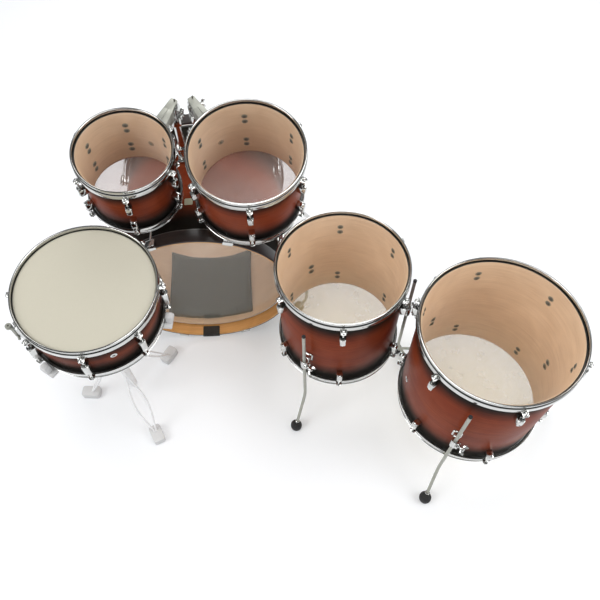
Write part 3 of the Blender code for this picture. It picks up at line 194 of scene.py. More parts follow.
def lathe(profile: Sequence[Point], segments: int = 96, finishes: Sequence[int] = ()) -> Form:
    """Turn a closed profile about Z.

    Args:
        profile: (radius, height) points. Points with no radius are poles.
        segments: Number of sides.
        finishes: Finish of the faces that start at each profile point.

    Returns:
        The turned form.
    """
    points: list[Vector] = []
    rings: list[list[int]] = []
    for radius, height in profile:
        count = 1 if radius == 0 else segments
        rings.append(list(range(len(points), len(points) + count)))
        points += [polar(radius, 360 * k / segments, height) for k in range(count)]
    faces: list[tuple[int, ...]] = []
    numbers: list[int] = []
    for i, ring in enumerate(rings):
        after = rings[(i + 1) % len(rings)]
        if len(ring) == 1 and len(after) == 1:
            continue
        for k in range(segments):
            j = (k + 1) % segments
            if len(ring) == 1:
                faces.append((ring[0], after[k], after[j]))
            elif len(after) == 1:
                faces.append((ring[k], after[0], ring[j]))
            else:
                faces.append((ring[k], after[k], after[j], ring[j]))
            numbers.append(finishes[i] if finishes else 0)
    return Form(points, faces, numbers).outward()


def bend(before: Vector, corner: Vector, after: Vector, radius: float, steps: int) -> list[Vector]:
    """Round one corner of a path.

    Args:
        before: The point before the corner.
        corner: The corner.
        after: The point after the corner.
        radius: Length of path that the curve takes up on either side.
        steps: Number of stretches in the curve.

    Returns:
        The curve's points.
    """
    back = before - corner
    ahead = after - corner
    reach = min(radius, back.length * WIDEST_BEND, ahead.length * WIDEST_BEND)
    start = corner + back.normalized() * reach
    end = corner + ahead.normalized() * reach
    shares = [k / steps for k in range(steps + 1)]
    return [start * (1 - t) ** 2 + corner * 2 * t * (1 - t) + end * t * t for t in shares]


def rounded(corners: Sequence[Point], radius: float | Sequence[float], steps: int = 4) -> list[Vector]:
    """Round the corners of a closed outline.

    Args:
        corners: Corner points in a plane, as (x, y).
        radius: Rounding of every corner, or of each.
        steps: Number of edges in each rounded corner.

    Returns:
        The outline's points.
    """
    outline: list[Vector] = []
    flat = [Vector(corner[:2]) for corner in corners]
    for i, corner in enumerate(flat):
        size = radius if isinstance(radius, (int, float)) else radius[i]
        if size <= 0:
            outline.append(corner)
        else:
            outline += bend(flat[i - 1], corner, flat[(i + 1) % len(flat)], size, steps)
    return outline


def from_bmesh(bm: bmesh.types.BMesh) -> Form:
    """Turn a bmesh into a form and free it.

    Args:
        bm: A closed bmesh.

    Returns:
        The form.
    """
    bm.verts.index_update()
    points = [vertex.co.copy() for vertex in bm.verts]
    faces = [tuple(vertex.index for vertex in face.verts) for face in bm.faces]
    bm.free()
    return Form(points, faces, [0] * len(faces)).outward()


def prism(outline: Sequence[Point], low: float, high: float, bevel: float = 0.0) -> Form:
    """An upright block on an outline.

    Args:
        outline: (x, y) points.
        low: Height of its underside.
        high: Height of its top.
        bevel: Rounding of its edges.

    Returns:
        The block.
    """
    bm = bmesh.new()
    bottom = [bm.verts.new((p[0], p[1], low)) for p in outline]
    top = [bm.verts.new((p[0], p[1], high)) for p in outline]
    for i in range(len(outline)):
        bm.faces.new((bottom[i - 1], bottom[i], top[i], top[i - 1]))
    caps = [bm.faces.new(list(reversed(bottom))), bm.faces.new(top)]
    bmesh.ops.recalc_face_normals(bm, faces=bm.faces)
    if bevel > 0:
        edges = {edge for cap in caps for edge in cap.edges}
        edges |= {e for e in bm.edges if len(e.link_faces) == 2 and e.calc_face_angle() > SHARP}
        bmesh.ops.bevel(
            bm,
            geom=list(edges),
            offset=bevel,
            offset_type="OFFSET",
            segments=2,
            profile=0.5,
            affect="EDGES",
            clamp_overlap=True,
        )
    return from_bmesh(bm)


def block(low: Point, high: Point, bevel: float = 0.0) -> Form:
    """A box between two corners, with rounded edges."""
    outline = [(low[0], low[1]), (high[0], low[1]), (high[0], high[1]), (low[0], high[1])]
    return prism(outline, low[2], high[2], bevel)


def aim(start: Point, direction: Point) -> Matrix:
    """Matrix that puts the origin at a point and +Z along a direction."""
    turn = Vector(UP).rotation_difference(Vector(direction))
    return Matrix.Translation(Vector(start)) @ turn.to_matrix().to_4x4()


def spindle(start: Point, direction: Point, stations: Sequence[Point], sides: int = 20) -> Form:
    """A turned bar along a line.

    Args:
        start: Where the line starts.
        direction: Where the line goes.
        stations: (radius, distance along the line) points, from one end to the other.
        sides: Number of sides.

    Returns:
        The closed bar.
    """
    profile = [(0.0, stations[0][1]), *stations, (0.0, stations[-1][1])]
    return lathe(profile, sides).moved(aim(start, direction))


def rod(start: Point, end: Point, radius: float, sides: int = 20, chamfer: float = 0.0006) -> Form:
    """A round bar between two points, with its ends' edges broken.

    Args:
        start: Middle of one end.
        end: Middle of the other end.
        radius: Radius of the bar.
        sides: Number of sides.
        chamfer: Size of the broken edges.

    Returns:
        The closed bar.
    """
    run = Vector(end) - Vector(start)
    stations = [
        (radius - chamfer, 0.0), (radius, chamfer), (radius, run.length - chamfer),
        (radius - chamfer, run.length),
    ]
    return spindle(start, run, stations, sides)


def eased(points: Sequence[Point], radius: float, steps: int = 6) -> list[Vector]:
    """Round the inner corners of an open path in space.

    Args:
        points: The path's corners.
        radius: Length of path that each bend takes up on either side.
        steps: Number of stretches in each bend.

    Returns:
        The path with bends.
    """
    corners = [Vector(point) for point in points]
    path = [corners[0]]
    for before, corner, after in zip(corners, corners[1:], corners[2:]):
        path += bend(before, corner, after, radius, steps)
    return path + [corners[-1]]


def swept(points: list[Vector], sides: int, finish: int = 0) -> Form:
    """Skin stations of points that follow one another, and close both ends.

    Args:
        points: Points of all the stations in order.
        sides: Number of points in a station.
        finish: Finish of the faces.

    Returns:
        The closed form.
    """
    faces: list[tuple[int, ...]] = []
    last = len(points) - sides
    for i in range(0, last, sides):
        for k in range(sides):
            j = (k + 1) % sides
            faces.append((i + k, i + sides + k, i + sides + j, i + j))
    faces.append(tuple(range(sides)))
    faces.append(tuple(reversed(range(last, last + sides))))
    return Form(points, faces, [finish] * len(faces)).outward()


def tube(path: Sequence[Vector], radius: float, sides: int = 16, chamfer: float = 0.0006) -> Form:
    """A round bar along a path in space, with its ends' edges broken.

    Args:
        path: Points of the path.
        radius: Radius of the bar.
        sides: Number of sides.
        chamfer: Size of the broken edges.

    Returns:
        The closed bar.
    """
    path = list(path)
    path.insert(1, path[0] + (path[1] - path[0]).normalized() * chamfer)
    path.insert(-1, path[-1] + (path[-2] - path[-1]).normalized() * chamfer)
    along = [(b - a).normalized() for a, b in zip(path, path[1:])]
    across = along[0].orthogonal().normalized()
    points: list[Vector] = []
    for i, point in enumerate(path):
        ahead = along[min(i, len(along) - 1)]
        behind = along[max(i - 1, 0)]
        middle = (ahead + behind).normalized()
        across = (across - middle * across.dot(middle)).normalized()
        other = middle.cross(across)
        size = radius - chamfer if i in (0, len(path) - 1) else radius
        for k in range(sides):
            turn = 2 * math.pi * k / sides
            points.append(point + (across * math.cos(turn) + other * math.sin(turn)) * size)
    return swept(points, sides)


def upright(form: Form) -> Form:
    """Turn a form about X, so that what lay along +Y stands along +Z."""
    return form.moved(Matrix.Rotation(math.pi / 2, 4, "X"))


def level(axis: Vector) -> Matrix:
    """Turn that lays X along a level axis and keeps Z up."""
    up = Vector(UP)
    return Matrix((axis, up.cross(axis), up)).transposed().to_4x4()


def corner_drop(past: float, corner: float) -> float:
    """How far a round corner has fallen back, this far past where it begins."""
    return corner - math.sqrt(max(corner**2 - past**2, 0.0))


def shell_plate(radius: float, thickness: float, half: float, low: float, high: float, corner: float) -> Form:
    """A plate with round corners that follows a drum's shell.

    Args:
        radius: Radius of the face that lies on the shell.
        thickness: Thickness of the plate.
        half: Half its width, along the shell.
        low: Height of its lower edge.
        high: Height of its upper edge.
        corner: Radius of its corners.

    Returns:
        The plate, on the drum's +X side.
    """
    steps = 20
    points: list[Vector] = []
    for i in range(steps + 1):
        across = half * math.sin(math.pi * (i / steps - 0.5))
        past = max(0.0, abs(across) - (half - corner))
        drop = corner_drop(past, corner)
        angle = math.degrees(across / radius)
        for reach, height in ((0, low), (0, high), (thickness, high), (thickness, low)):
            edge = drop if height == low else -drop
            points.append(polar(radius + reach, angle, height + edge))
    return swept(points, 4)


def washer_ring(inner: float, outer: float, low: float, high: float, edge: float = 0.0008) -> Form:
    """A flat ring about Z with rounded edges."""
    corners = [(inner, low), (outer, low), (outer, high), (inner, high)]
    return lathe(rounded(corners, edge, 3), 40)


def wing_bolt(start: Point, direction: Point, turn: float = 0.0) -> Form:
    """A wing bolt: a turned hub and two flat wings.

    Args:
        start: Where it leaves its bracket.
        direction: Where it points.
        turn: How far its wings are screwed round, in degrees.

    Returns:
        The bolt.
    """
    hub = [(0.0036, 0.0), (0.0036, 0.007), (0.006, 0.0082), (0.0066, 0.012)]
    hub += [(0.006, 0.0165), (0.0036, 0.0186)]
    wing = [(0.003, 0.0095), (0.0128, 0.0112), (0.0152, 0.016)]
    wing += [(0.0146, 0.0238), (0.0092, 0.0234), (0.003, 0.016)]
    sizes = [0.0, 0.003, 0.003, 0.003, 0.004, 0.0]
    blade = upright(prism(rounded(wing, sizes, 4), -0.0024, 0.0024, 0.001))
    shape = spindle(ORIGIN, UP, hub, 24).plus(blade, blade.moved(about_z(180)))
    return shape.moved(aim(start, direction) @ about_z(turn))


def linked(name: str, data: bpy.types.ID) -> bpy.types.Object:
    """Put an object in the scene.

    Args:
        name: Its name.
        data: Its mesh, lamp or camera.

    Returns:
        The object.
    """
    thing = bpy.data.objects.new(name, data)
    bpy.context.scene.collection.objects.link(thing)
    return thing


def evaluated(thing: bpy.types.Object) -> Mesh:
    """A plain mesh of an object with its modifiers applied."""
    graph = bpy.context.evaluated_depsgraph_get()
    return bpy.data.meshes.new_from_object(thing.evaluated_get(graph))


def pierced(form: Form, cutters: Sequence[Form]) -> Form:
    """Cut other forms out of a form.

    Args:
        form: The form.
        cutters: Closed forms, whose faces bring their finish into the cut.

    Returns:
        The cut form.
    """
    shapes = (form, *cutters)
    things = []
    count = 1 + max(max(shape.finishes) for shape in shapes)
    for shape in shapes:
        mesh = shape.mesh("pierced")
        for _ in range(count):
            mesh.materials.append(None)
        mesh.polygons.foreach_set("material_index", shape.finishes)
        things.append(linked("pierced", mesh))
    for cutter in things[1:]:
        step = things[0].modifiers.new("Cut", "BOOLEAN")
        step.operation = "DIFFERENCE"
        step.solver = "EXACT"
        step.object = cutter
    result = evaluated(things[0])
    for thing in things:
        bpy.data.objects.remove(thing, do_unlink=True)
    points = [vertex.co.copy() for vertex in result.vertices]
    faces = [tuple(polygon.vertices) for polygon in result.polygons]
    return Form(points, faces, [polygon.material_index for polygon in result.polygons])


# Finishes


class Graph:
    """A node tree and short ways to fill it."""

    def __init__(self, tree: Tree) -> None:
        """Keep the tree."""
        self.tree = tree

    def add(self, kind: str, inputs: dict[str | int, object] | None = None, **values: object) -> Node:
        """Add a node.

        Args:
            kind: Blender's name for the node.
            inputs: Values of its inputs, by name or number.
            values: Its properties.

        Returns:
            The node.
        """
        node = self.tree.nodes.new(kind)
        for name, value in values.items():
            setattr(node, name, value)
        for name, value in (inputs or {}).items():
            node.inputs[name].default_value = value
        return node

    def link(self, start: Socket, end: Socket) -> None:
        """Join two sockets."""
        self.tree.links.new(start, end)

    def wire(self, *pairs: tuple[Socket, Socket]) -> None:
        """Join several pairs of sockets."""
        for start, end in pairs:
            self.link(start, end)


class Group(Graph):
    """A node group with named inputs and outputs."""

    def __init__(
        self, name: str, kind: str, inputs: Sequence[tuple[str, str, object]], outputs: Sequence[str], result: str
    ) -> None:
        """Make the group and its sockets.

        Args:
            name: Its name.
            kind: Blender's name for the kind of tree.
            inputs: (name, kind, value) of each input.
            outputs: Names of its outputs.
            result: Kind of its outputs.
        """
        super().__init__(bpy.data.node_groups.new(name, kind))
        for label, sort, value in inputs:
            socket = self.tree.interface.new_socket(label, in_out="INPUT", socket_type=f"NodeSocket{sort}")
            if value is not None:
                socket.default_value = value
        for label in outputs:
            self.tree.interface.new_socket(label, in_out="OUTPUT", socket_type=f"NodeSocket{result}")
        self.given = self.tree.nodes.new("NodeGroupInput").outputs
        self.made = self.tree.nodes.new("NodeGroupOutput").inputs


class Shader(Graph):
    """The node tree of one material, with its Principled BSDF."""

    def __init__(self, name: str) -> None:
        """Make the material.

        Args:
            name: Its name.
        """
        self.material = bpy.data.materials.new(name)
        self.material.use_nodes = True
        super().__init__(self.material.node_tree)
        self.surface = self.tree.nodes["Principled BSDF"]

    def feed(self, name: str, value: Socket) -> None:
        """Join a socket to an input of the Principled BSDF."""
        self.link(value, self.surface.inputs[name])

    def set(self, **values: object) -> None:
        """Set sockets of the Principled BSDF, whose names are written with underscores."""
        for name, value in values.items():
            self.surface.inputs[name.replace("_", " ")].default_value = value

    def group(self, tree: Tree, place: Socket, **values: object) -> Node:
        """Place a shared effect.

        Args:
            tree: The effect's node group.
            place: Coordinates that it is read at.
            values: Values of its inputs, whose names are written with underscores.

        Returns:
            The group node.
        """
        node = self.add("ShaderNodeGroup", node_tree=tree)
        for name, value in values.items():
            node.inputs[name.replace("_", " ")].default_value = value
        self.link(place, node.inputs["Vector"])
        return node

    def worn(self, place: Socket, scale: float, low: float, high: float) -> Node:
        """Let the roughness drift between two levels.

        Args:
            place: Coordinates that it is read at.
            scale: How closely the marks lie.
            low: The lower level.
            high: The higher level.

        Returns:
            The node of the marks.
        """
        marks = self.group(SMUDGES, place, Scale=scale, Low=low, High=high)
        self.feed("Roughness", marks.outputs["Value"])
        return marks

    def coordinates(self, attribute: str = "") -> Socket:
        """Object coordinates, or a piece's own attribute.

        Args:
            attribute: The attribute's name, or nothing.

        Returns:
            The coordinates' socket.
        """
        if attribute:
            return self.add("ShaderNodeAttribute", attribute_name=attribute).outputs["Vector"]
        return self.add("ShaderNodeTexCoord").outputs["Object"]

    def ramp(self, value: Socket, stops: Sequence[tuple[float, Colour]]) -> Socket:
        """Colours along a value.

        Args:
            value: The value.
            stops: (place, colour) pairs.

        Returns:
            The colour's socket.
        """
        node = self.add("ShaderNodeValToRGB")
        scale = node.color_ramp
        while len(scale.elements) < len(stops):
            scale.elements.new(0.5)
        for element, (place, colour) in zip(scale.elements, stops):
            element.position = place
            element.color = (*colour, 1.0)
        self.link(value, node.inputs["Fac"])
        return node.outputs["Color"]

    def mix(self, share: Socket | float, first: object, second: object, blend: str = "MIX") -> Socket:
        """Mix two colours.

        Args:
            share: Share of the second colour.
            first: A colour or a socket.
            second: A colour or a socket.
            blend: Blender's name for the kind of mix.

        Returns:
            The mixed colour's socket.
        """
        node = self.add("ShaderNodeMix", data_type="RGBA", blend_type=blend)
        for value, socket in ((share, node.inputs[0]), (first, node.inputs[6]), (second, node.inputs[7])):
            if isinstance(value, Socket):
                self.link(value, socket)
            elif isinstance(value, tuple):
                socket.default_value = (*value, 1.0)
            else:
                socket.default_value = value
        return node.outputs[2]

    def math(self, operation: str, first: object, second: object = 0.5, clamp: bool = False) -> Socket:
        """One step of arithmetic on two values or sockets.

        Args:
            operation: Blender's name for the step.
            first: A value or a socket.
            second: A value or a socket.
            clamp: Whether the result stays between 0 and 1.

        Returns:
            The result's socket.
        """
        node = self.add("ShaderNodeMath", operation=operation, use_clamp=clamp)
        for value, socket in ((first, node.inputs[0]), (second, node.inputs[1])):
            if isinstance(value, Socket):
                self.link(value, socket)
            else:
                socket.default_value = value
        return node.outputs[0]

    def bump(self, height: Socket, strength: float, distance: float) -> None:
        """Raise the surface by a height.

        Args:
            height: The height's socket.
            strength: Strength of the bump.
            distance: Height of a full bump.
        """
        node = self.add("ShaderNodeBump", {"Strength": strength, "Distance": distance})
        self.link(height, node.inputs["Height"])
        self.feed("Normal", node.outputs["Normal"])


def streaks_effect() -> Tree:
    """Wood grain: fine streaks and a slower figure across them, from a stretched noise.

    Returns:
        The node group.
    """
    given = [("Vector", "Vector", None), ("Stretch", "Vector", (8.0, 8.0, 500.0)), ("Figure Scale", "Float", 9.0)]
    group = Group("wood_streaks", "ShaderNodeTree", given, ["Grain", "Figure"], "Float")
    scaled = group.add("ShaderNodeVectorMath", operation="MULTIPLY")
    grain = group.add("ShaderNodeTexNoise", {"Scale": 1.0, "Detail": 6.0, "Roughness": 0.62, "Distortion": 0.6})
    figure = group.add("ShaderNodeTexNoise", {"Detail": 3.0, "Distortion": 1.2})
    group.wire(
        (group.given["Vector"], scaled.inputs[0]),
        (group.given["Stretch"], scaled.inputs[1]),
        (scaled.outputs[0], grain.inputs["Vector"]),
        (group.given["Vector"], figure.inputs["Vector"]),
        (group.given["Figure Scale"], figure.inputs["Scale"]),
        (grain.outputs[0], group.made["Grain"]),
        (figure.outputs[0], group.made["Figure"]),
    )
    return group.tree


def smudge_effect() -> Tree:
    """Handling marks: a value between two levels that drifts over the surface.

    Returns:
        The node group.
    """
    given = [("Vector", "Vector", None), ("Scale", "Float", 60.0), ("Low", "Float", 0.05), ("High", "Float", 0.15)]
    group = Group("smudges", "ShaderNodeTree", given, ["Value", "Fine"], "Float")
    noise = group.add("ShaderNodeTexNoise", {"Detail": 5.0, "Roughness": 0.6})
    spread = group.add("ShaderNodeMapRange", {"From Min": 0.3, "From Max": 0.7})
    fine = group.add("ShaderNodeTexNoise", {"Scale": 1400.0, "Detail": 2.0})
    group.wire(
        (group.given["Vector"], noise.inputs["Vector"]),
        (group.given["Scale"], noise.inputs["Scale"]),
        (noise.outputs[0], spread.inputs["Value"]),
        (group.given["Low"], spread.inputs["To Min"]),
        (group.given["High"], spread.inputs["To Max"]),
        (spread.outputs[0], group.made["Value"]),
        (group.given["Vector"], fine.inputs["Vector"]),
        (fine.outputs[0], group.made["Fine"]),
    )
    return group.tree


STREAKS = streaks_effect()
SMUDGES = smudge_effect()


@dataclass(frozen=True)
class BurstLacquer:
    """Satin lacquer over maple, red-brown in the middle of a shell and fading to black at both edges."""

    depth: float
    seed: float
    clear: float
    black: float
    middle: Colour = (0.185, 0.024, 0.01)
    amber: Colour = (0.34, 0.074, 0.026)
    edge: Colour = (0.012, 0.01, 0.008)

    def make(self) -> Material:
        """Build the material.

        Returns:
            The material.
        """
        shader = Shader("burst_lacquer")
        place = shader.coordinates("place")
        moved = shader.add("ShaderNodeMapping", {"Location": (self.seed, self.seed * 0.37, 0.0)})
        shader.link(place, moved.inputs["Vector"])
        wood = shader.group(STREAKS, moved.outputs[0], Stretch=(7.0, 7.0, 420.0), Figure_Scale=7.0)
        parts = shader.add("ShaderNodeSeparateXYZ")
        shader.link(place, parts.inputs[0])
        height = shader.math("ADD", parts.outputs["Z"], self.depth / 2)
        margin = shader.math("SUBTRACT", self.depth / 2, shader.math("ABSOLUTE", height))
        wobble = shader.math("MULTIPLY", shader.math("SUBTRACT", wood.outputs["Figure"], 0.5), 0.016)
        margins = {"From Min": self.clear, "From Max": self.black}
        fade = shader.add("ShaderNodeMapRange", margins, interpolation_type="SMOOTHSTEP")
        shader.link(shader.math("ADD", margin, wobble), fade.inputs["Value"])
        warm = shader.mix(wood.outputs["Figure"], self.middle, self.amber)
        grain = shader.ramp(wood.outputs["Grain"], [(0.36, (0.62, 0.58, 0.56)), (0.62, (1.0, 1.0, 1.0))])
        stained = shader.mix(0.85, warm, grain, "MULTIPLY")
        shader.feed("Base Color", shader.mix(fade.outputs[0], stained, self.edge))
        shader.worn(place, 14.0, 0.3, 0.4)
        shader.set(Coat_Weight=0.015, Coat_Roughness=0.16, Specular_IOR_Level=0.03)
        shader.bump(wood.outputs["Grain"], 0.1, 0.0005)
        return shader.material


@dataclass(frozen=True)
class PlainWood:
    """Bare or lacquered wood with its grain round the drum."""

    name: str
    light: Colour
    dark: Colour
    roughness: float
    coat: float = 0.0
    stretch: Colour = (9.0, 9.0, 380.0)

    def make(self) -> Material:
        """Build the material.

        Returns:
            The material.
        """
        shader = Shader(self.name)
        place = shader.coordinates("place")
        wood = shader.group(STREAKS, place, Stretch=self.stretch, Figure_Scale=11.0)
        grain = shader.ramp(wood.outputs["Grain"], [(0.34, self.dark), (0.6, self.light)])
        tone = shader.ramp(wood.outputs["Figure"], [(0.3, (0.9, 0.87, 0.84)), (0.7, (1.0, 1.0, 1.0))])
        shader.feed("Base Color", shader.mix(0.8, grain, tone, "MULTIPLY"))
        shader.worn(place, 20.0, self.roughness - 0.05, self.roughness + 0.05)
        shader.set(Coat_Weight=self.coat, Coat_Roughness=0.15)
        shader.bump(wood.outputs["Grain"], 0.1, 0.0005)
        return shader.material


@dataclass(frozen=True)
class Metal:
    """Plated, cast or brushed metal with light handling marks."""

    name: str
    colour: Colour
    low: float
    high: float
    metallic: float = 1.0
    texture: float = 0.0
    marks: float = 45.0

    def make(self) -> Material:
        """Build the material.

        Returns:
            The material.
        """
        shader = Shader(self.name)
        marks = shader.worn(shader.coordinates(), self.marks, self.low, self.high)
        darker = tuple(0.9 * c for c in self.colour)
        cloud = shader.add("ShaderNodeMapRange", {"From Min": self.low, "From Max": self.high})
        shader.link(marks.outputs["Value"], cloud.inputs["Value"])
        shader.feed("Base Color", shader.mix(cloud.outputs[0], self.colour, darker))
        shader.set(Metallic=self.metallic)
        if self.texture > 0:
            shader.bump(marks.outputs["Fine"], self.texture, 0.0003)
        return shader.material


@dataclass(frozen=True)
class ClearFilm:
    """Film that lets light through: some of it is milky, and a mirror-like share grows towards a glancing view."""

    name: str
    colour: Colour
    milky: tuple[float, float]
    shine: float
    metallic: float
    rough: tuple[float, float] = (0.1, 0.2)

    def make(self) -> Material:
        """Build the material.

        Returns:
            The material.
        """
        shader = Shader(self.name)
        place = shader.coordinates()
        facing = shader.add("ShaderNodeFresnel", {"IOR": 1.4})
        marks = shader.group(SMUDGES, place, Scale=9.0, Low=self.milky[0], High=self.milky[1])
        shine = shader.math("MULTIPLY", facing.outputs[0], self.shine)
        seen = shader.math("ADD", shine, marks.outputs["Value"], clamp=True)
        path = shader.add("ShaderNodeLightPath")
        lit = shader.math("SUBTRACT", 1.0, path.outputs["Is Shadow Ray"])
        shader.feed("Alpha", shader.math("MULTIPLY", seen, lit))
        faded = tuple(0.94 * c for c in self.colour)
        shader.feed("Base Color", shader.ramp(marks.outputs["Fine"], [(0.35, faded), (0.65, self.colour)]))
        shader.worn(place, 25.0, *self.rough)
        shader.set(Metallic=self.metallic)
        return shader.material


@dataclass(frozen=True)
class Textured:
    """A matt moulded, coated or fibrous surface with a fine texture."""

    name: str
    colour: Colour
    second: Colour
    low: float
    high: float
    grain: float
    strength: float
    distance: float
    sheen: float = 0.0

    def make(self) -> Material:
        """Build the material.

        Returns:
            The material.
        """
        shader = Shader(self.name)
        place = shader.coordinates()
        noise = shader.add("ShaderNodeTexNoise", {"Scale": self.grain, "Detail": 4.0})
        shader.link(place, noise.inputs["Vector"])
        shader.worn(place, 18.0, self.low, self.high)
        shader.feed("Base Color", shader.ramp(noise.outputs[0], [(0.35, self.second), (0.65, self.colour)]))
        shader.bump(noise.outputs[0], self.strength, self.distance)
        if self.sheen > 0:
            shader.set(Sheen_Weight=self.sheen, Sheen_Roughness=0.5)
        return shader.material


MAPLE = PlainWood("maple_inside", (0.85, 0.64, 0.445), (0.745, 0.54, 0.36), 0.45, 0.05).make()
# Darker copy of the maple for the rack toms' insides: painted shade for the dimmer light inside these drums.
RACK_MAPLE_PAINTED_SHADE = PlainWood("rack_tom_inside", (0.73, 0.545, 0.38), (0.64, 0.458, 0.306), 0.45, 0.05).make()
HOOP_MAPLE = PlainWood("hoop_maple", (0.86, 0.47, 0.17), (0.7, 0.345, 0.105), 0.35, 0.2).make()
DARK_LACQUER = PlainWood("dark_lacquer", (0.022, 0.012, 0.01), (0.012, 0.008, 0.007), 0.36, 0.16).make()
CHROME = Metal("chromed_steel", (0.66, 0.665, 0.65), 0.05, 0.12).make()
SATIN = Metal("satin_casting", (0.43, 0.435, 0.385), 0.34, 0.46, 0.45, texture=0.15).make()
# Flesh hoops far darker than bright aluminium: painted shade for the gap between hoop and film where they show.
ALUMINIUM_PAINTED_SHADE = Metal("flesh_hoop_aluminium", (0.16, 0.158, 0.15), 0.3, 0.4, 0.8).make()
DARK_STEEL = Metal("dark_screws", (0.13, 0.125, 0.105), 0.4, 0.55, 0.4).make()
ZINC = Metal("zinc_washers", (0.3, 0.285, 0.225), 0.4, 0.52, 0.5).make()
PALE_ZINC = Metal("pale_washers", (0.42, 0.32, 0.23), 0.45, 0.55, 0.3).make()
BARE_PLATE = Metal("bare_plate", (0.47, 0.455, 0.33), 0.3, 0.4, 0.8).make()
PALE_STEEL = Metal("pale_steel", (0.96, 0.96, 0.965), 0.45, 0.56, 0.0, texture=0.1).make()
FILM = ClearFilm("clear_head", (0.95, 0.945, 0.93), (0.002, 0.008), 0.14, 0.6).make()
CLOUDY_FILM = ClearFilm("cloudy_film", (0.78, 0.71, 0.47), (0.33, 0.34), 0.2, 0.1, (0.25, 0.35)).make()
# Darker, pinker copy of the cloudy film for the rack toms' resonant heads: painted shade and painted warm bounce
# light from the maple inside.
RACK_FILM_PAINTED_SHADE = ClearFilm("rack_tom_film", (0.56, 0.43, 0.4), (0.285, 0.295), 0.3, 0.1, (0.22, 0.32)).make()
# Near-black film on the heads' collars: painted shade of the gap between the hoop and the film.
COLLAR_PAINTED_SHADE = ClearFilm("head_collar", (0.06, 0.052, 0.044), (0.7, 0.8), 0.3, 0.2).make()
COATING = Textured(
    "coated_head", (0.505, 0.48, 0.392), (0.48, 0.452, 0.365), 0.55, 0.68, 900.0, 0.25, 0.0003
).make()
RUBBER = Textured(
    "black_rubber", (0.022, 0.022, 0.023), (0.014, 0.014, 0.015), 0.55, 0.75, 600.0, 0.25, 0.0004
).make()
PALE_RUBBER = Textured(
    "pale_rubber", (0.76, 0.76, 0.76), (0.7, 0.7, 0.7), 0.6, 0.75, 600.0, 0.25, 0.0004
).make()
FLAP = Textured(
    "protector_flap", (0.03, 0.026, 0.022), (0.018, 0.016, 0.014), 0.6, 0.75, 600.0, 0.25, 0.0004
).make()
FELT = Textured(
    "grey_felt", (0.112, 0.114, 0.086), (0.08, 0.081, 0.06), 0.9, 0.98, 700.0, 0.6, 0.001, 0.2
).make()

SLOT_FINISHES = {
    "dark_lacquer": DARK_LACQUER,
    "chromed_steel": CHROME,
    "clear_head": FILM,
    "coated_head": COATING,
    "black_rubber": RUBBER,
    "grey_felt": FELT,
    "pale_steel": PALE_STEEL,
}


# Objects


def put(
    name: str,
    shape: Form | Mesh,
    finishes: Finishes,
    place: Matrix,
    body: str,
    nodes: Iterable[str] = (),
    slot: str = "",
    crease: float = 32.0,
) -> bpy.types.Object:
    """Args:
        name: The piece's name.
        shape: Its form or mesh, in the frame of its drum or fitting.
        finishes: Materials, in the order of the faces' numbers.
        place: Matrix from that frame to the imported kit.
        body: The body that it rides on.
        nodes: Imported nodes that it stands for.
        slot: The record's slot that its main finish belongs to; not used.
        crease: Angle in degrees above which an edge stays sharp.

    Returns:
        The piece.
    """
    mesh = shape.mesh(name) if isinstance(shape, Form) else shape
    values = [0.0] * (3 * len(mesh.vertices))
    mesh.vertices.foreach_get("co", values)
    mesh.attributes.new("place", "FLOAT_VECTOR", "POINT").data.foreach_set("vector", values)
    mesh.transform(place)
    mesh.materials.clear()
    for finish in finishes:
        mesh.materials.append(finish)
    if isinstance(shape, Form):
        mesh.polygons.foreach_set("material_index", shape.finishes)
    mesh.shade_smooth()
    mesh.set_sharp_from_angle(angle=math.radians(crease))
    mesh.update()
    piece = linked(name, mesh)
    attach(piece, body)
    if nodes:
        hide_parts(*nodes)
    LOG.info("%s: %d faces, rides on %s", name, len(mesh.polygons), body)
    return piece


def end_tree(group: Group, copies: Node) -> Tree:
    """Make the copies of a geometry tree real and give them their finish.

    Args:
        group: The tree, with the input Finish and the output Pieces.
        copies: Its node of instances.

    Returns:
        The finished tree.
    """
    real = group.add("GeometryNodeRealizeInstances")
    finish = group.add("GeometryNodeSetMaterial")
    group.wire(
        (copies.outputs["Instances"], real.inputs["Geometry"]),
        (real.outputs["Geometry"], finish.inputs["Geometry"]),
        (group.given["Finish"], finish.inputs["Material"]),
        (finish.outputs["Geometry"], group.made["Pieces"]),
    )
    return group.tree


def round_axis_tree() -> Tree:
    """Geometry nodes that set copies of a piece at even angles round Z.

    Returns:
        The tree, with the inputs Piece, Count, First Angle, Step and Finish.
    """
    given = [("Piece", "Geometry", None), ("Count", "Int", 6), ("First Angle", "Float", 0.0)]
    given += [("Step", "Float", 1.0), ("Finish", "Material", None)]
    group = Group("pieces_round_an_axis", "GeometryNodeTree", given, ["Pieces"], "Geometry")
    line = group.add("GeometryNodeMeshLine", {"Offset": (0.0, 0.0, 0.0)})
    number = group.add("GeometryNodeInputIndex")
    times = group.add("ShaderNodeMath", operation="MULTIPLY")
    total = group.add("ShaderNodeMath", operation="ADD")
    turn = group.add("FunctionNodeAxisAngleToRotation", {"Axis": (0.0, 0.0, 1.0)})
    copies = group.add("GeometryNodeInstanceOnPoints")
    group.wire(
        (group.given["Count"], line.inputs["Count"]),
        (number.outputs[0], times.inputs[0]),
        (group.given["Step"], times.inputs[1]),
        (times.outputs[0], total.inputs[0]),
        (group.given["First Angle"], total.inputs[1]),
        (total.outputs[0], turn.inputs["Angle"]),
        (line.outputs["Mesh"], copies.inputs["Points"]),
        (group.given["Piece"], copies.inputs["Instance"]),
        (turn.outputs["Rotation"], copies.inputs["Rotation"]),
    )
    return end_tree(group, copies)


ROUND_AXIS = round_axis_tree()


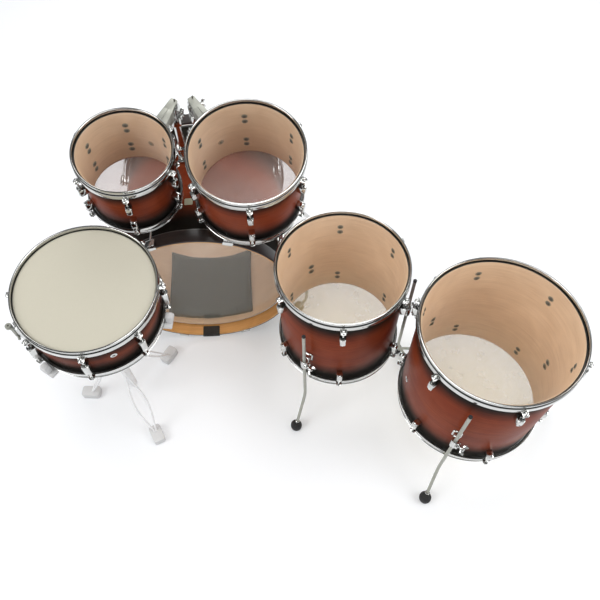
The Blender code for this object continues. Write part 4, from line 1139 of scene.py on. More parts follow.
def grown(form: Form, tree: Tree, values: dict[str, object]) -> Mesh:
    """Run geometry nodes on a form and keep the plain mesh.

    Args:
        form: The shape that the tree is given.
        tree: The tree.
        values: Its inputs by name.

    Returns:
        The mesh that the tree makes.
    """
    thing = linked("pattern", form.mesh("pattern"))
    step = thing.modifiers.new("Repeat", "NODES")
    step.node_group = tree
    for item in tree.interface.items_tree:
        if item.item_type == "SOCKET" and item.in_out == "INPUT" and item.name in values:
            step[item.identifier] = values[item.name]
    thing.update_tag()
    result = evaluated(thing)
    bpy.data.objects.remove(thing, do_unlink=True)
    return result


# Drums


@dataclass
class Drum:
    """Sizes, place and body of one drum, and the pieces that every drum has."""

    name: str
    body: str
    radius: float
    depth: float
    wall: float
    lugs: int
    first_lug: float
    place: tuple[float, float, float]
    lean: tuple[float, float]
    seed: float
    hoop_inside: float = 0.003
    hoop_sheet: float = 0.0022
    vents: tuple[tuple[float, float], ...] = ()
    rod_standoff: float = 0.0165
    lug_top: float = 0.044
    lug_length: float = 0.036
    fade: tuple[float, float] = (0.098, 0.026)
    lacquer: Material = field(init=False)
    inside: Material = MAPLE
    cloudy: Material = CLOUDY_FILM

    def __post_init__(self) -> None:
        """Mix this drum's lacquer and choose the wood of its inside and its resonant film. Rack toms get darker
        copies of both, painted shade for the dimmer light inside them; the film is also pinker, painted warm bounce
        light from the shell.
        """
        self.lacquer = BurstLacquer(self.depth, self.seed, *self.fade).make()
        # Rack toms take darker copies of the maple and the resonant film: painted shade for the dimmer light inside
        # them.
        if self.body.startswith("rack_tom"):
            self.inside = RACK_MAPLE_PAINTED_SHADE
            self.cloudy = RACK_FILM_PAINTED_SHADE

    @property
    def circle(self) -> float:
        """Radius of the circle that the tension rods stand on."""
        return self.radius + self.rod_standoff

    @property
    def matrix(self) -> Matrix:
        """Matrix from the drum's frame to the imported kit.

        Returns:
            The matrix.
        """
        x = math.sin(math.radians(self.lean[0]))
        y = -math.sin(math.radians(self.lean[1]))
        up = Vector((x, y, math.sqrt(1 - x * x - y * y)))
        right = (Vector(OUT) - up * up.x).normalized()
        turn = Matrix((right, up.cross(right), up)).transposed().to_4x4()
        return LAYOUT @ Matrix.Translation(self.place) @ turn

    def at(self, end: End) -> Matrix:
        """Matrix that takes a fitting made for the batter end to either end.

        Args:
            end: The end that the fitting goes to.

        Returns:
            The matrix, in the drum's frame.
        """
        if end is End.BATTER:
            return Matrix.Identity(4)
        return shift(0, 0, -self.depth) @ Matrix.Diagonal((1, 1, -1, 1))

    def put(self, name: str, form: Form, finishes: Finishes, **options: object) -> bpy.types.Object:
        return put(f"{self.name}_{name}_look", form, finishes, self.matrix, self.body, **options)

    def ring(self, name: str, form: Form, finish: Material) -> bpy.types.Object:
        """Repeat a fitting at each lug round the drum.

        Args:
            name: Name of the piece that they make together.
            form: One fitting, on the drum's +X side.
            finish: Their material.

        Returns:
            The piece.
        """
        values = {
            "Count": self.lugs,
            "First Angle": math.radians(self.first_lug),
            "Step": 2 * math.pi / self.lugs,
            "Finish": finish,
        }
        mesh = grown(form, ROUND_AXIS, values)
        return put(f"{self.name}_{name}_look", mesh, [finish], self.matrix, self.body)

    def shell(self) -> Form:
        """Shell wall with a rounded outer edge and a long cut towards the inside.

        Returns:
            The shell, with its lacquered and its bare faces in finishes 0 and 1.
        """
        r = self.radius
        top = -0.0006
        low = -self.depth + 0.0006
        inner = r - self.wall
        cut = 0.017
        profile = [
            (r - 0.002, top), (r - 0.0006, top - 0.0007), (r, top - 0.0022), (r, (top + low) / 2),
            (r, low + 0.0022), (r - 0.0006, low + 0.0007), (r - 0.002, low), (inner, low + cut),
            (inner, (top + low) / 2), (inner, top - cut),
        ]
        return lathe(profile, 128, [1, 0, 0, 0, 0, 1, 1, 1, 1, 1])

    def head(self, end: End) -> Form:
        """Drumhead: a film that turns down over the bearing edge into its collar.

        Args:
            end: The end that it closes.

        Returns:
            The head, with its film and its collar in finishes 0 and 1.
        """
        r = self.radius
        film = 0.0003
        upper = [
            (0.0, 0.0), (r * 0.5, 0.0), (r - 0.0105, 0.0), (r - 0.0045, 0.0), (r - 0.0022, -0.0001),
            (r - 0.0006, -0.0006), (r + 0.001, -0.0022), (r + 0.0017, -0.005), (r + 0.0018, -0.007),
        ]
        lower = [(max(x - film, 0.0), z - film) for x, z in reversed(upper)]
        finishes = [0] * 6 + [1] * 6 + [0] * 6
        return lathe(upper + lower, 128, finishes).moved(self.at(end))

    def flesh_hoop(self, end: End) -> Form:
        """Aluminium channel that holds the rim of the film.

        Args:
            end: The end that it is on.

        Returns:
            The flesh hoop.
        """
        r = self.radius
        corners = [(r + 0.0012, -0.0125), (r + 0.0062, -0.0125), (r + 0.0062, -0.0062), (r + 0.0012, -0.0062)]
        return lathe(rounded(corners, 0.0012, 3), 128).moved(self.at(end))

    def steel_hoop(self, end: End) -> Form:
        """Pressed hoop: lip turned out at the top, upright wall, step over the flesh hoop, and skirt.

        Args:
            end: The end that it is on.

        Returns:
            The hoop.
        """
        inside = self.radius + self.hoop_inside
        sheet = self.hoop_sheet
        corners = [
            (inside, -0.0017), (inside, 0.0094), (inside + 0.0012, 0.011), (inside + 0.0046, 0.011),
            (inside + 0.0046, 0.009), (inside + sheet, 0.0082), (inside + sheet, -0.001),
            (inside + sheet + 0.0043, -0.0053), (inside + sheet + 0.0043, -0.0187), (inside + 0.0043, -0.0187),
            (inside + 0.0043, -0.0062),
        ]
        sizes = [0.001, 0.003, 0.002, 0.0009, 0.0009, 0.002, 0.0016, 0.0022, 0.0008, 0.0008, 0.0014]
        return lathe(rounded(corners, sizes, 3), 144).moved(self.at(end))

    def ear(self) -> Form:
        """Ear of the hoop that a tension rod passes through.

        Returns:
            The ear, on the drum's +X side.
        """
        skirt = self.radius + 0.0076
        half = 0.008
        corners = [
            (skirt, -half - 0.003), (skirt + 0.003, -half), (self.circle + half * 0.9, -half),
            (self.circle + half * 0.9, half), (skirt + 0.003, half), (skirt, half + 0.003),
        ]
        sizes = [0.0, 0.003, 0.007, 0.007, 0.003, 0.0]
        return prism(rounded(corners, sizes, 5), -0.0178, -0.015, 0.0006)

    def tension_rod(self, low: float) -> Form:
        """Tension rod with its collar, square head and washer.

        Args:
            low: Height of its lower end.

        Returns:
            The rod, on the drum's +X side.
        """
        x = self.circle
        shank = rod((x, 0, low), (x, 0, -0.015), ROD_RADIUS, 14)
        washer = [(0.0062, 0.0), (0.0064, 0.0004), (0.0064, 0.0012)]
        neck = [(0.0052, 0.002), (0.0046, 0.0034), (0.0036, 0.0038)]
        collar = spindle((x, 0, -0.015), UP, washer + neck, 18)
        head = block((x - 0.0029, -0.0029, -0.0115), (x + 0.0029, 0.0029, -0.005), 0.0007)
        return shank.plus(collar, head.moved(shift(x, 0, 0) @ about_z(20) @ shift(-x, 0, 0)))

    def lug(self, top: float, low: float) -> Form:
        """Lug: a block with a flat face on the shell, with a neck round the tension rod.

        Args:
            top: Height of its upper end.
            low: Height of its lower end.

        Returns:
            The lug, on the drum's +X side.
        """
        r = self.radius
        x = self.circle
        face = x + 0.0072
        half = [(r - 0.003, -0.0076), (x - 0.004, -0.0094), (face, -0.0074)]
        outline = half + [(a, -b) for a, b in reversed(half)]
        sizes = [0.0, 0.003, 0.0026, 0.0026, 0.003, 0.0]
        body = prism(rounded(outline, sizes, 3), low + 0.004, top - 0.006, 0.0012)
        neck = [(0.0078, -0.007), (0.0078, -0.0022), (0.007, -0.0012), (0.007, 0.0)]
        neck += [(0.0044, 0.0), (0.004, -0.002)]
        tail = [(0.004, 0.0), (0.0062, 0.001), (0.0074, 0.003), (0.0076, 0.006)]
        return body.plus(spindle((x, 0, top), UP, neck, 28), spindle((x, 0, low), UP, tail, 28))

    def fitting(self) -> Form:
        """Ear, tension rod and lug at the batter end."""
        low = -self.lug_top - self.lug_length
        return self.ear().plus(self.tension_rod(-self.lug_top - 0.006), self.lug(-self.lug_top, low))

    def screws(self, heights: Sequence[float]) -> None:
        """Put screw heads with washers on the inside of the shell, below each lug.

        Args:
            heights: Heights of the screws.
        """
        start = self.radius - self.wall + SINK
        washers = Form()
        heads = Form()
        for height in heights:
            washer = [(0.0084, 0.0), (0.0087, 0.0004), (0.0082, 0.0011)]
            washers = washers.plus(spindle((start, 0, height), IN, washer, 20))
            head = [(0.005, 0.0), (0.005, 0.0022), (0.004, 0.0033), (0.0016, 0.0036)]
            heads = heads.plus(spindle((start, 0, height), IN, head, 14))
        self.ring("washers", washers, ZINC)
        self.ring("screws", heads, DARK_STEEL)

    def holes(self) -> list[Form]:
        """Holes through the shell: by default, one for each vent.

        Returns:
            The holes' cutters.
        """
        holes = []
        for angle, height in self.vents:
            hole = spindle((self.radius - 0.02, 0, height), OUT, [(0.0055, 0.0), (0.0055, 0.04)], 24)
            holes.append(hole.in_finish(1).moved(about_z(angle)))
        return holes

    def vent(self, angle: float, height: float) -> Form:
        """Vent grommet through the shell: a lipped ring outside and inside.

        Args:
            angle: Its place round the drum in degrees.
            height: Its height.

        Returns:
            The grommet, in the drum's frame.
        """
        profile = [
            (0.0042, self.wall + 0.0014), (0.0066, self.wall + 0.0018), (0.0088, self.wall + 0.0009),
            (0.009, self.wall + 0.0001), (0.0053, self.wall), (0.0053, 0.0), (0.008, 0.0), (0.0074, -0.001),
            (0.0042, -0.001),
        ]
        start = (self.radius - self.wall, 0, height)
        return lathe(profile, 24).moved(about_z(angle) @ aim(start, OUT))

    def grommets(self) -> None:
        """Put a grommet in each vent."""
        for number, (angle, height) in enumerate(self.vents, 1):
            self.put(f"vent_{number}", self.vent(angle, height), [CHROME])

    def hoop(self, word: str, form: Form) -> None:
        """Put in the steel hoop of the end with this name."""
        self.put(f"{word}_hoop", form, [CHROME], nodes=[f"{self.name}_{word}_hoop"], slot="chromed_steel")

    def common_pieces(self, film: Film, other: str) -> None:
        """Put in the shell, both heads and their flesh hoops.

        Args:
            film: Kind of the batter head.
            other: Word for the other end in the nodes' names.
        """
        shell = pierced(self.shell(), self.holes()) if self.holes() else self.shell()
        self.put("shell", shell, [self.lacquer, self.inside], nodes=[f"{self.name}_shell"], slot="burst_lacquer")
        for end, word in ((End.BATTER, "batter"), (End.OTHER, other)):
            coated = film is Film.COATED and end is End.BATTER
            cloudy = film is Film.CLEAR and other == "resonant" and end is End.OTHER
            surface = COATING if coated else self.cloudy if cloudy else FILM
            # Apart from the toms' cloudy resonant heads and the bass drum, the collar takes the near-black painted
            # shade of the gap between film and hoop.
            finishes = [surface, surface if cloudy or other == "front" else COLLAR_PAINTED_SHADE]
            slot = "coated_head" if coated else "clear_head"
            node = f"{self.name}_{word}_head"
            self.put(f"{word}_head", self.head(end), finishes, nodes=[node], slot=slot)
            # The flesh hoops' dark finish is painted shade in the gap under the steel hoop.
            self.put(f"{word}_flesh_hoop", self.flesh_hoop(end), [ALUMINIUM_PAINTED_SHADE])


@dataclass
class Tom(Drum):
    """A rack tom or a floor tom with steel hoops and a single lug at each end of each rod."""

    def build(self) -> None:
        """Put in every piece that rides with the drum itself."""
        self.common_pieces(Film.CLEAR, "resonant")
        for end, word in ((End.BATTER, "batter"), (End.OTHER, "resonant")):
            self.hoop(word, self.steel_hoop(end))
            self.ring(f"{word}_fittings", self.fitting().moved(self.at(end)), CHROME)
        middle = self.lug_top + self.lug_length / 2 - 0.004
        heights = [-middle + 0.0115, -middle - 0.0115]
        heights += [-self.depth - height for height in heights]
        self.screws(heights)
        self.grommets()


@dataclass
class Snare(Drum):
    """Snare drum with steel hoops and lugs that bridge from hoop to hoop."""

    def build(self) -> None:
        """Put in every piece that rides with the drum itself."""
        self.common_pieces(Film.COATED, "resonant")
        for end, word in ((End.BATTER, "batter"), (End.OTHER, "resonant")):
            hoop = self.steel_hoop(end)
            if end is End.OTHER:
                hoop = pierced(hoop, self.gates())
            self.hoop(word, hoop)
            fitting = self.ear().plus(self.tension_rod(-self.lug_top - 0.006))
            self.ring(f"{word}_rods", fitting.moved(self.at(end)), CHROME)
        self.ring("lugs", self.lug(-self.lug_top, -self.depth + self.lug_top), CHROME)
        self.screws([-self.depth / 2 + 0.014, -self.depth / 2 - 0.014])
        self.grommets()

    def gates(self) -> list[Form]:
        """Gaps in the lower hoop that the wires' straps pass through.

        Returns:
            The gaps' cutters.
        """
        r = self.radius
        gate = block((r - 0.01, -0.017, -self.depth - 0.022), (r + 0.0105, 0.017, -self.depth + 0.0012))
        return [gate.moved(about_z(angle)) for angle in (STRAINER_ANGLE - 180, STRAINER_ANGLE)]


@dataclass
class Bass(Drum):
    """Bass drum with its wooden hoops, claws, hoop protector and small plate."""

    @property
    def matrix(self) -> Matrix:
        """Matrix from the drum's frame, whose batter head faces the player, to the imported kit."""
        return LAYOUT @ Matrix.Translation(self.place) @ STANDING

    def wood_hoop(self, end: End) -> Form:
        """Wooden hoop: dark lacquer outside and over half its edge, clear-lacquered maple inside.

        Args:
            end: The end that it is on.

        Returns:
            The hoop, with lacquer and maple in finishes 0 and 1.
        """
        inner = 0.2813
        outer = 0.2909
        low = -0.0038
        high = 0.0392
        stain = outer - 0.005
        corners = [(inner, low), (outer, low), (outer, high), (stain, high), (inner, high)]
        profile = rounded(corners, [0.0022, 0.0022, 0.0022, 0.0, 0.0022], 3)
        finishes = [0 if (a.x + b.x) / 2 > stain else 1 for a, b in zip(profile, profile[1:] + profile[:1])]
        return lathe(profile, 160, finishes).moved(self.at(end))

    def claw(self) -> Form:
        """Claw hook over the hoop, with its rod and its lug on the shell.

        Returns:
            The claw, on the drum's +X side.
        """
        front = 0.0392
        outer = 0.2911
        circle = self.radius + 0.0193
        half = 0.016
        corners = [
            (outer - 0.007, front - 0.0012), (outer - 0.007, front + 0.0046),
            (outer + 0.0098, front + 0.002), (outer + 0.0098, front - 0.026),
            (outer + 0.003, front - 0.026), (outer + 0.0004, front - 0.012),
            (outer + 0.0004, front - 0.0012),
        ]
        hook = prism(rounded(corners, [0.0012, 0.004, 0.006, 0.003, 0.003, 0.0, 0.0], 3), -half, half, 0.0012)
        hook = hook.moved(STANDING)
        bar = rod((circle, 0, -0.061), (circle, 0, front - 0.006), ROD_RADIUS, 14)
        head = block((circle - 0.0029, -0.0029, front - 0.006), (circle + 0.0029, 0.0029, front + 0.001), 0.0007)
        return hook.plus(bar, head, self.bass_lug(circle))

    def bass_lug(self, circle: float) -> Form:
        """Lug on the bass shell.

        Args:
            circle: Radius of the circle that the claws' rods stand on.

        Returns:
            The lug, on the drum's +X side.
        """
        low = -0.097
        top = -0.055
        stations = [(0.003, 0.0), (0.006, 0.001), (0.0075, 0.004)]
        stations += [(0.0075, 0.0385), (0.0064, 0.0405), (0.0052, 0.042)]
        barrel = spindle((circle, 0, low), UP, stations, 28)
        r = self.radius
        foot = block((r - 0.003, -0.0075, low), (r + 0.003, 0.0075, top), 0.001)
        web = [(r, -0.005), (circle, -0.006), (circle, 0.006), (r, 0.005)]
        web = prism(web, low + 0.004, top - 0.005, 0.001)
        return barrel.plus(foot, web)

    def build(self) -> None:
        self.common_pieces(Film.CLEAR, "front")
        for end, word in ((End.BATTER, "batter"), (End.OTHER, "front")):
            node = f"{self.name}_{word}_hoop"
            finishes = [DARK_LACQUER, HOOP_MAPLE]
            self.put(f"{word}_hoop", self.wood_hoop(end), finishes, nodes=[node], slot="dark_lacquer")
            self.ring(f"{word}_claws", self.claw().moved(self.at(end)), CHROME)
        heights = [-0.066, -0.086]
        heights += [-self.depth - height for height in heights]
        self.screws(heights)
        finishes = [RUBBER, FLAP]
        nodes = ["bass_hoop_protector"]
        self.put("hoop_protector", self.protector(), finishes, nodes=nodes, slot="black_rubber")
        self.put("plate", self.small_plate(), [BARE_PLATE])

    def holes(self) -> list[Form]:
        """Holes in the top of the shell for the posts of the tom holders.

        Returns:
            The holes' cutters.
        """
        y = -self.depth / 2 - POSTS_Y
        hole = [(0.0147, 0.0), (0.0147, 0.06)]
        return [spindle((x, self.radius * 0.9, y), (0, 1, 0), hole, 48).in_finish(1) for x in POSTS_X]

    def small_plate(self) -> Form:
        """Small bare plate on top of the shell, in front of the tom holders."""
        plate = shell_plate(self.radius + SEAT, 0.001, 0.0125, -0.0125, 0.0125, 0.004)
        return plate.moved(shift(0, 0, -0.1215) @ about_z(91.2))

    def protector(self) -> Form:
        """Hoop protector: a front plate over the hoop's edge and a flap along its inside.

        Returns:
            The protector, with its plate and its flap in finishes 0 and 1.
        """
        front = 0.0396
        under = 0.2821
        outer = 0.2894
        width = 12.3
        corner = 0.0035
        steps = 24
        form = Form()
        for finish, low, high, inner, over in (
            (0, front, front + 0.004, under - 0.004, outer),
            (1, front - 0.033, front + 0.0002, under - 0.004, under),
        ):
            points: list[Vector] = []
            for i in range(steps + 1):
                share = 0.5 - 0.5 * math.cos(math.pi * i / steps)
                angle = 261.0 + width * share
                edge = min(share, 1 - share) * math.radians(width) * outer
                drop = corner_drop(max(0.0, corner - edge), corner)
                top = over - (drop if finish == 0 else 0.0)
                bottom = low + (drop if finish == 1 else 0.0)
                for radius, height in ((inner, bottom), (top, bottom), (top, high), (inner, high)):
                    points.append(polar(radius, angle, height))
            form = form.plus(swept(points, 4, finish))
        return form


# Hardware


def sideways(form: Form) -> Form:
    """Turn a form so that its X lies along Y, its Y along Z and its Z along X."""
    return form.moved(Matrix(((0, 0, 1), (1, 0, 0), (0, 1, 0))).to_4x4())


def dome(start: Point, direction: Point, radius: float, height: float) -> Form:
    """A low domed screw head with a recess in its middle.

    Args:
        start: Where it sits.
        direction: Where it faces.
        radius: Its radius.
        height: Its height.

    Returns:
        The screw head.
    """
    stations = [
        (radius, 0.0), (radius, height * 0.35), (radius * 0.88, height * 0.75), (radius * 0.55, height),
        (radius * 0.42, height), (radius * 0.3, height * 0.45),
    ]
    return spindle(start, direction, stations, 20)


def yoke(low: float, high: float, pocket: float = 0.0) -> Form:
    """Two cheeks beside a tilter's eye and the floor that joins them, with X along the hinge.

    Args:
        low: Height of its underside.
        high: Height of its rounded top.
        pocket: Radius of the pocket in its floor for a post, or 0 for none.

    Returns:
        The yoke, with the hinge at the origin.
    """
    floor = block((-0.0144, -0.0165, low), (0.0144, 0.0165, -0.0173), 0.0016)
    if pocket:
        floor = pierced(floor, [spindle(ORIGIN, UP, [(pocket, low - 0.01), (pocket, -0.02)], 48)])
    outline = [(-0.0165, low + 0.001), (0.0165, low + 0.001), (0.0165, high), (-0.0165, high)]
    cheek = sideways(prism(rounded(outline, [0.002, 0.002, 0.016, 0.016], 8), 0.0069, 0.0144, 0.0012))
    nut = sideways(prism([polar(0.0078, 60 * k, 0)[:2] for k in range(6)], -0.0192, -0.0142, 0.0008))
    washer = spindle((-0.0142, 0, 0), IN, [(0.0098, 0.0), (0.0098, 0.001), (0.009, 0.0014)], 28)
    return floor.plus(cheek, cheek.moved(MIRROR_X), nut, washer)


@dataclass
class TomHolder:
    """Post, tilter and arm of one rack tom, and the casting on the tom that clamps the arm."""

    size: str
    drum: Drum
    depth: float
    post_x: float
    post_y: float = POSTS_Y
    post_low: float = 0.4685
    spot: Vector = field(init=False)
    angle: float = field(init=False)
    reach: float = field(init=False)
    inward: Vector = field(init=False)

    def __post_init__(self) -> None:
        """Find where the arm's line meets the post, and how it runs to the drum."""
        layout = LAYOUT.inverted() @ self.drum.matrix
        up = layout.col[2].to_3d()
        middle = layout.translation
        x, y = self.post_x, self.post_y
        z = middle.z + (-self.depth - up.x * (x - middle.x) - up.y * (y - middle.y)) / up.z
        self.spot = Vector((x, y, z))
        local = layout.inverted() @ self.spot
        self.angle = math.degrees(math.atan2(local.y, local.x))
        self.reach = local.to_2d().length - self.drum.radius
        self.inward = (layout.to_3x3() @ -polar(1, self.angle, 0)).normalized()

    @property
    def tilt_frame(self) -> Matrix:
        """Matrix from the tilter's frame, with X along its hinge and Z up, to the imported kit.

        Returns:
            The matrix.
        """
        axis = Vector(UP).cross(self.inward).normalized()
        return LAYOUT @ Matrix.Translation(self.spot) @ level(axis)

    def post(self) -> Form:
        """Straight tube, open at its lower end.

        Returns:
            The post, with its axis on the origin.
        """
        low = self.post_low
        high = self.spot.z - 0.0206
        profile = [
            (0.0107, low), (0.0121, low), (0.0127, low + 0.0006), (0.0127, high - 0.001), (0.0117, high),
            (0.0, high), (0.0, high - 0.004), (0.0107, high - 0.004),
        ]
        return lathe(profile, 48)

    def tilter(self) -> Form:
        """Collar on the post, with its slit and its screw, and the yoke above it.

        Returns:
            The tilter, in its own frame.
        """
        corners = [(0.0131, -0.056), (0.0205, -0.056), (0.0205, -0.0266), (0.0131, -0.0266)]
        collar = lathe(rounded(corners, [0.0006, 0.0024, 0.0016, 0.0004], 3), 64)
        slit = block((-0.0008, 0.01, -0.06), (0.0008, 0.026, -0.03))
        screw = dome((0.0195, 0, -0.042), OUT, 0.004, 0.0024).in_finish(1)
        bolt = wing_bolt((0.014, 0, -0.005), OUT, 0.0)
        return pierced(collar, [slit]).plus(yoke(-0.0262, 0.018, 0.013), screw, bolt)

    def arm(self) -> Form:
        """Arm: an eye on the tilter's hinge and a round bar that ends in the drum's casting.

        Returns:
            The arm, in the tilter's frame.
        """
        run = self.tilt_frame.to_3x3().inverted() @ (LAYOUT.to_3x3() @ self.inward)
        eye = [(0.0148, 0.0), (0.0162, 0.0006), (0.0165, 0.0018)]
        eye += [(0.0165, 0.0112), (0.0162, 0.0124), (0.0148, 0.013)]
        neck = [(0.0092, 0.011), (0.0092, 0.0185), (0.008, 0.021), (0.0064, 0.0216), (0.0064, 0.023)]
        bar = rod(run * 0.01, run * (self.reach - 0.012), 0.0064, 28, 0.0012)
        return spindle((-0.0065, 0, 0), OUT, eye, 48).plus(spindle(ORIGIN, run, neck, 28), bar)

    def casting(self) -> Form:
        """Casting on the tom: plate, block, jaw and a hood over the tilter, with bore, slits and screws.

        Returns:
            The casting, in the drum's frame.
        """
        r = self.drum.radius
        nose = r + self.reach - 0.0225
        z = -self.depth
        plate = shell_plate(r + SEAT, 0.0038, 0.028, z - 0.045, z + 0.045, 0.009)
        body = [(r + 0.002, -0.023), (r + 0.048, -0.0225), (r + 0.053, -0.0205)]
        body += [(x, -y) for x, y in reversed(body)]
        jaw = [(r + 0.0548, -0.02), (nose, -0.0155), (nose, 0.0155), (r + 0.0548, 0.02)]
        bore = rod((r + 0.0116, 0, z), (nose + 0.02, 0, z), 0.0066, 32)
        slit = block((r + 0.05, -0.0006, z), (nose + 0.02, 0.0006, z + 0.03))
        form = plate.plus(
            pierced(prism(body, z - 0.016, z + 0.0262, 0.002), [bore]),
            pierced(prism(jaw, z - 0.016, z + 0.0262, 0.0018), [bore, slit]),
            washer_ring(0.0068, 0.012, r + 0.052, r + 0.056).moved(shift(0, 0, z) @ aim(ORIGIN, OUT)),
        )
        far = r + self.reach + 0.015
        hood = [(nose - 0.003, -0.0148), (far, -0.0112), (far, 0.0112), (nose - 0.003, 0.0148)]
        form = form.plus(prism(rounded(hood, [0.0, 0.005, 0.005, 0.0], 4), z + 0.0206, z + 0.0266, 0.0014))
        marks = [dome((r + 0.04, y, z + 0.026), UP, 0.003, 0.0012) for y in (-0.012, 0.012)]
        marks += [dome((r + 0.0038, 0, z + side * 0.034), OUT, 0.0048, 0.0026) for side in (-1, 1)]
        marks.append(rod((far - 0.007, -0.004, z + 0.022), (far - 0.007, -0.004, z + 0.034), 0.0028, 14))
        for mark in marks:
            form = form.plus(mark.in_finish(1))
        bolt = wing_bolt((r + 0.03, 0.0226, z), (0, 1, 0), 20.0)
        return form.plus(bolt.in_finish(2)).moved(about_z(self.angle))

    def washer(self) -> Form:
        """Washer and screw of the casting on the inside of the shell.

        Returns:
            The washer and the screw, in the drum's frame.
        """
        inner = self.drum.radius - self.drum.wall
        start = (inner + SINK, 0, -self.depth)
        ring = spindle(start, IN, [(0.0092, 0.0), (0.0094, 0.0004), (0.009, 0.0012)], 28)
        return ring.plus(dome(start, IN, 0.0046, 0.0034).in_finish(1)).moved(about_z(self.angle))

    def build(self) -> None:
        """Put in the holder's pieces and the tom's casting."""
        size = self.size
        stand = LAYOUT @ shift(self.post_x, self.post_y, 0)
        tom = f"rack_tom_{size}"
        node = f"tom_post_{size}"
        put(f"{node}_look", self.post(), [CHROME], stand, node, [node], "chromed_steel")
        node = f"tom_tilter_{size}"
        tilt = self.tilt_frame
        put(f"{node}_look", self.tilter(), [CHROME, DARK_STEEL], tilt, node, [node], "chromed_steel")
        put(f"tom_arm_{size}_look", self.arm(), [CHROME], tilt, tom, [f"tom_arm_{size}"], "chromed_steel")
        node = f"tom_{size}_bracket"
        finishes = [SATIN, DARK_STEEL, CHROME]
        put(f"{node}_look", self.casting(), finishes, self.drum.matrix, tom, [node], "chromed_steel")
        put(f"{node}_washers_look", self.washer(), [PALE_ZINC, ZINC], self.drum.matrix, tom)


@dataclass
class HolderBase:
    """Saddle plate on the bass shell, with a receiver for each post."""

    posts: tuple[float, float] = POSTS_X
    y: float = POSTS_Y
    top: float = 0.56849
    saddle_radius: float = 0.2777

    def build(self) -> None:
        """Put in the plate, its receivers, wing bolts and screws."""
        middle = sum(self.posts) / 2
        half = 0.062
        wide = 0.031
        outline = [(middle - half, self.y - wide), (middle + half, self.y - wide)]
        outline += [(middle + half, self.y + wide), (middle - half, self.y + wide)]
        ends = [(middle, y, BASS_AXIS) for y in (self.y - 0.1, self.y + 0.1)]
        cutters = [rod(*ends, self.saddle_radius, 192)]
        cutters += [rod((x, self.y, self.top - 0.05), (x, self.y, self.top + 0.1), 0.0131, 48) for x in self.posts]
        plate = prism(rounded(outline, 0.012, 6), self.top - 0.02, self.top + 0.006, 0.0014)
        form = pierced(plate, cutters)
        for x in self.posts:
            side = -1 if x < middle else 1
            corners = [
                (0.0131, self.top + 0.005), (0.02, self.top + 0.005), (0.02, self.top + 0.013),
                (0.0184, self.top + 0.015), (0.0184, self.top + 0.034), (0.02, self.top + 0.036),
                (0.02, self.top + 0.046), (0.0131, self.top + 0.046),
            ]
            receiver = lathe(rounded(corners, 0.001, 3), 64).moved(shift(x, self.y, 0))
            bolt = wing_bolt((x + side * 0.018, self.y, self.top + 0.0276), (side, 0, 0), 50.0)
            form = form.plus(receiver, bolt)
            for y in (self.y - 0.024, self.y + 0.024):
                screw = dome((x + side * 0.03, y, self.top + 0.0058), UP, 0.0042, 0.0024)
                form = form.plus(screw.in_finish(1))
        finishes = [CHROME, DARK_STEEL]
        put("tom_holder_base_look", form, finishes, LAYOUT, "kit", ["tom_holder_base"], "chromed_steel")


@dataclass
class Spur:
    """A folding spur and its bracket on the bass shell."""

    word: str
    sign: int
    height: float = BASS_AXIS
    radius: float = BASS_RADIUS
    slope: float = -6.0
    y: float = 0.1
    foot: tuple[float, float, float] = (0.4, 0.225, 0.013)

    def build(self) -> None:
        """Put in the spur and its bracket."""
        slope = math.radians(self.slope)
        out = Vector((self.sign * math.cos(slope), 0, math.sin(slope)))
        start = Vector((0, self.y, self.height)) + out * self.radius
        root = start + out * 0.008
        foot = Vector((self.sign * self.foot[0], self.foot[1], self.foot[2]))
        run = foot - root
        boss_length = 0.027
        gap = 0.0004
        half_eye = 0.0085
        stand_off = boss_length + gap + half_eye
        tilt = math.atan2(run.z, abs(run.x)) + math.acos(stand_off / math.hypot(run.x, run.z))
        axis = Vector((self.sign * math.cos(tilt), 0, math.sin(tilt)))
        pivot = root + axis * stand_off
        base = block((-0.021, -0.021, -0.003), (0.021, 0.021, 0.016), 0.004).moved(aim(start, out))
        boss = [(0.017, 0.0), (0.017, 0.0235), (0.0158, 0.0248), (0.0158, 0.026), (0.015, boss_length)]
        bracket = base.plus(spindle(root, axis, boss, 40))
        for y in (-0.0145, 0.0145):
            for x in (-0.0145, 0.0145):
                screw = dome((x, y, 0.0158), UP, 0.0034, 0.0018).in_finish(1)
                bracket = bracket.plus(screw.moved(aim(start, out)))
        put(f"spur_bracket_{self.word}_look", bracket, [CHROME, DARK_STEEL], LAYOUT, "kit")
        eye = [(0.0156, 0.0), (0.017, 0.0012), (0.017, 0.0158)]
        eye += [(0.0156, 0.017), (0.01, 0.017), (0.009, 0.019)]
        form = spindle(pivot - axis * half_eye, axis, eye, 40)
        along = (foot - pivot).normalized()
        neck = [(0.0112, 0.01), (0.0112, 0.03), (0.0098, 0.034), (0.008, 0.036)]
        form = form.plus(spindle(pivot, along, neck, 28))
        form = form.plus(rod(pivot + along * 0.02, foot, 0.008, 28, 0.001))
        rubber = [(0.0, 0.0), (0.0122, 0.0), (0.0138, 0.0024), (0.014, 0.006)]
        rubber += [(0.0126, 0.019), (0.0108, 0.026), (0.0, 0.026)]
        form = form.plus(lathe(rubber, 36).moved(shift(foot.x, foot.y, 0)).in_finish(1))
        node = f"spur_{self.word}"
        put(f"{node}_look", form, [CHROME, RUBBER], LAYOUT, node, [node], "chromed_steel")


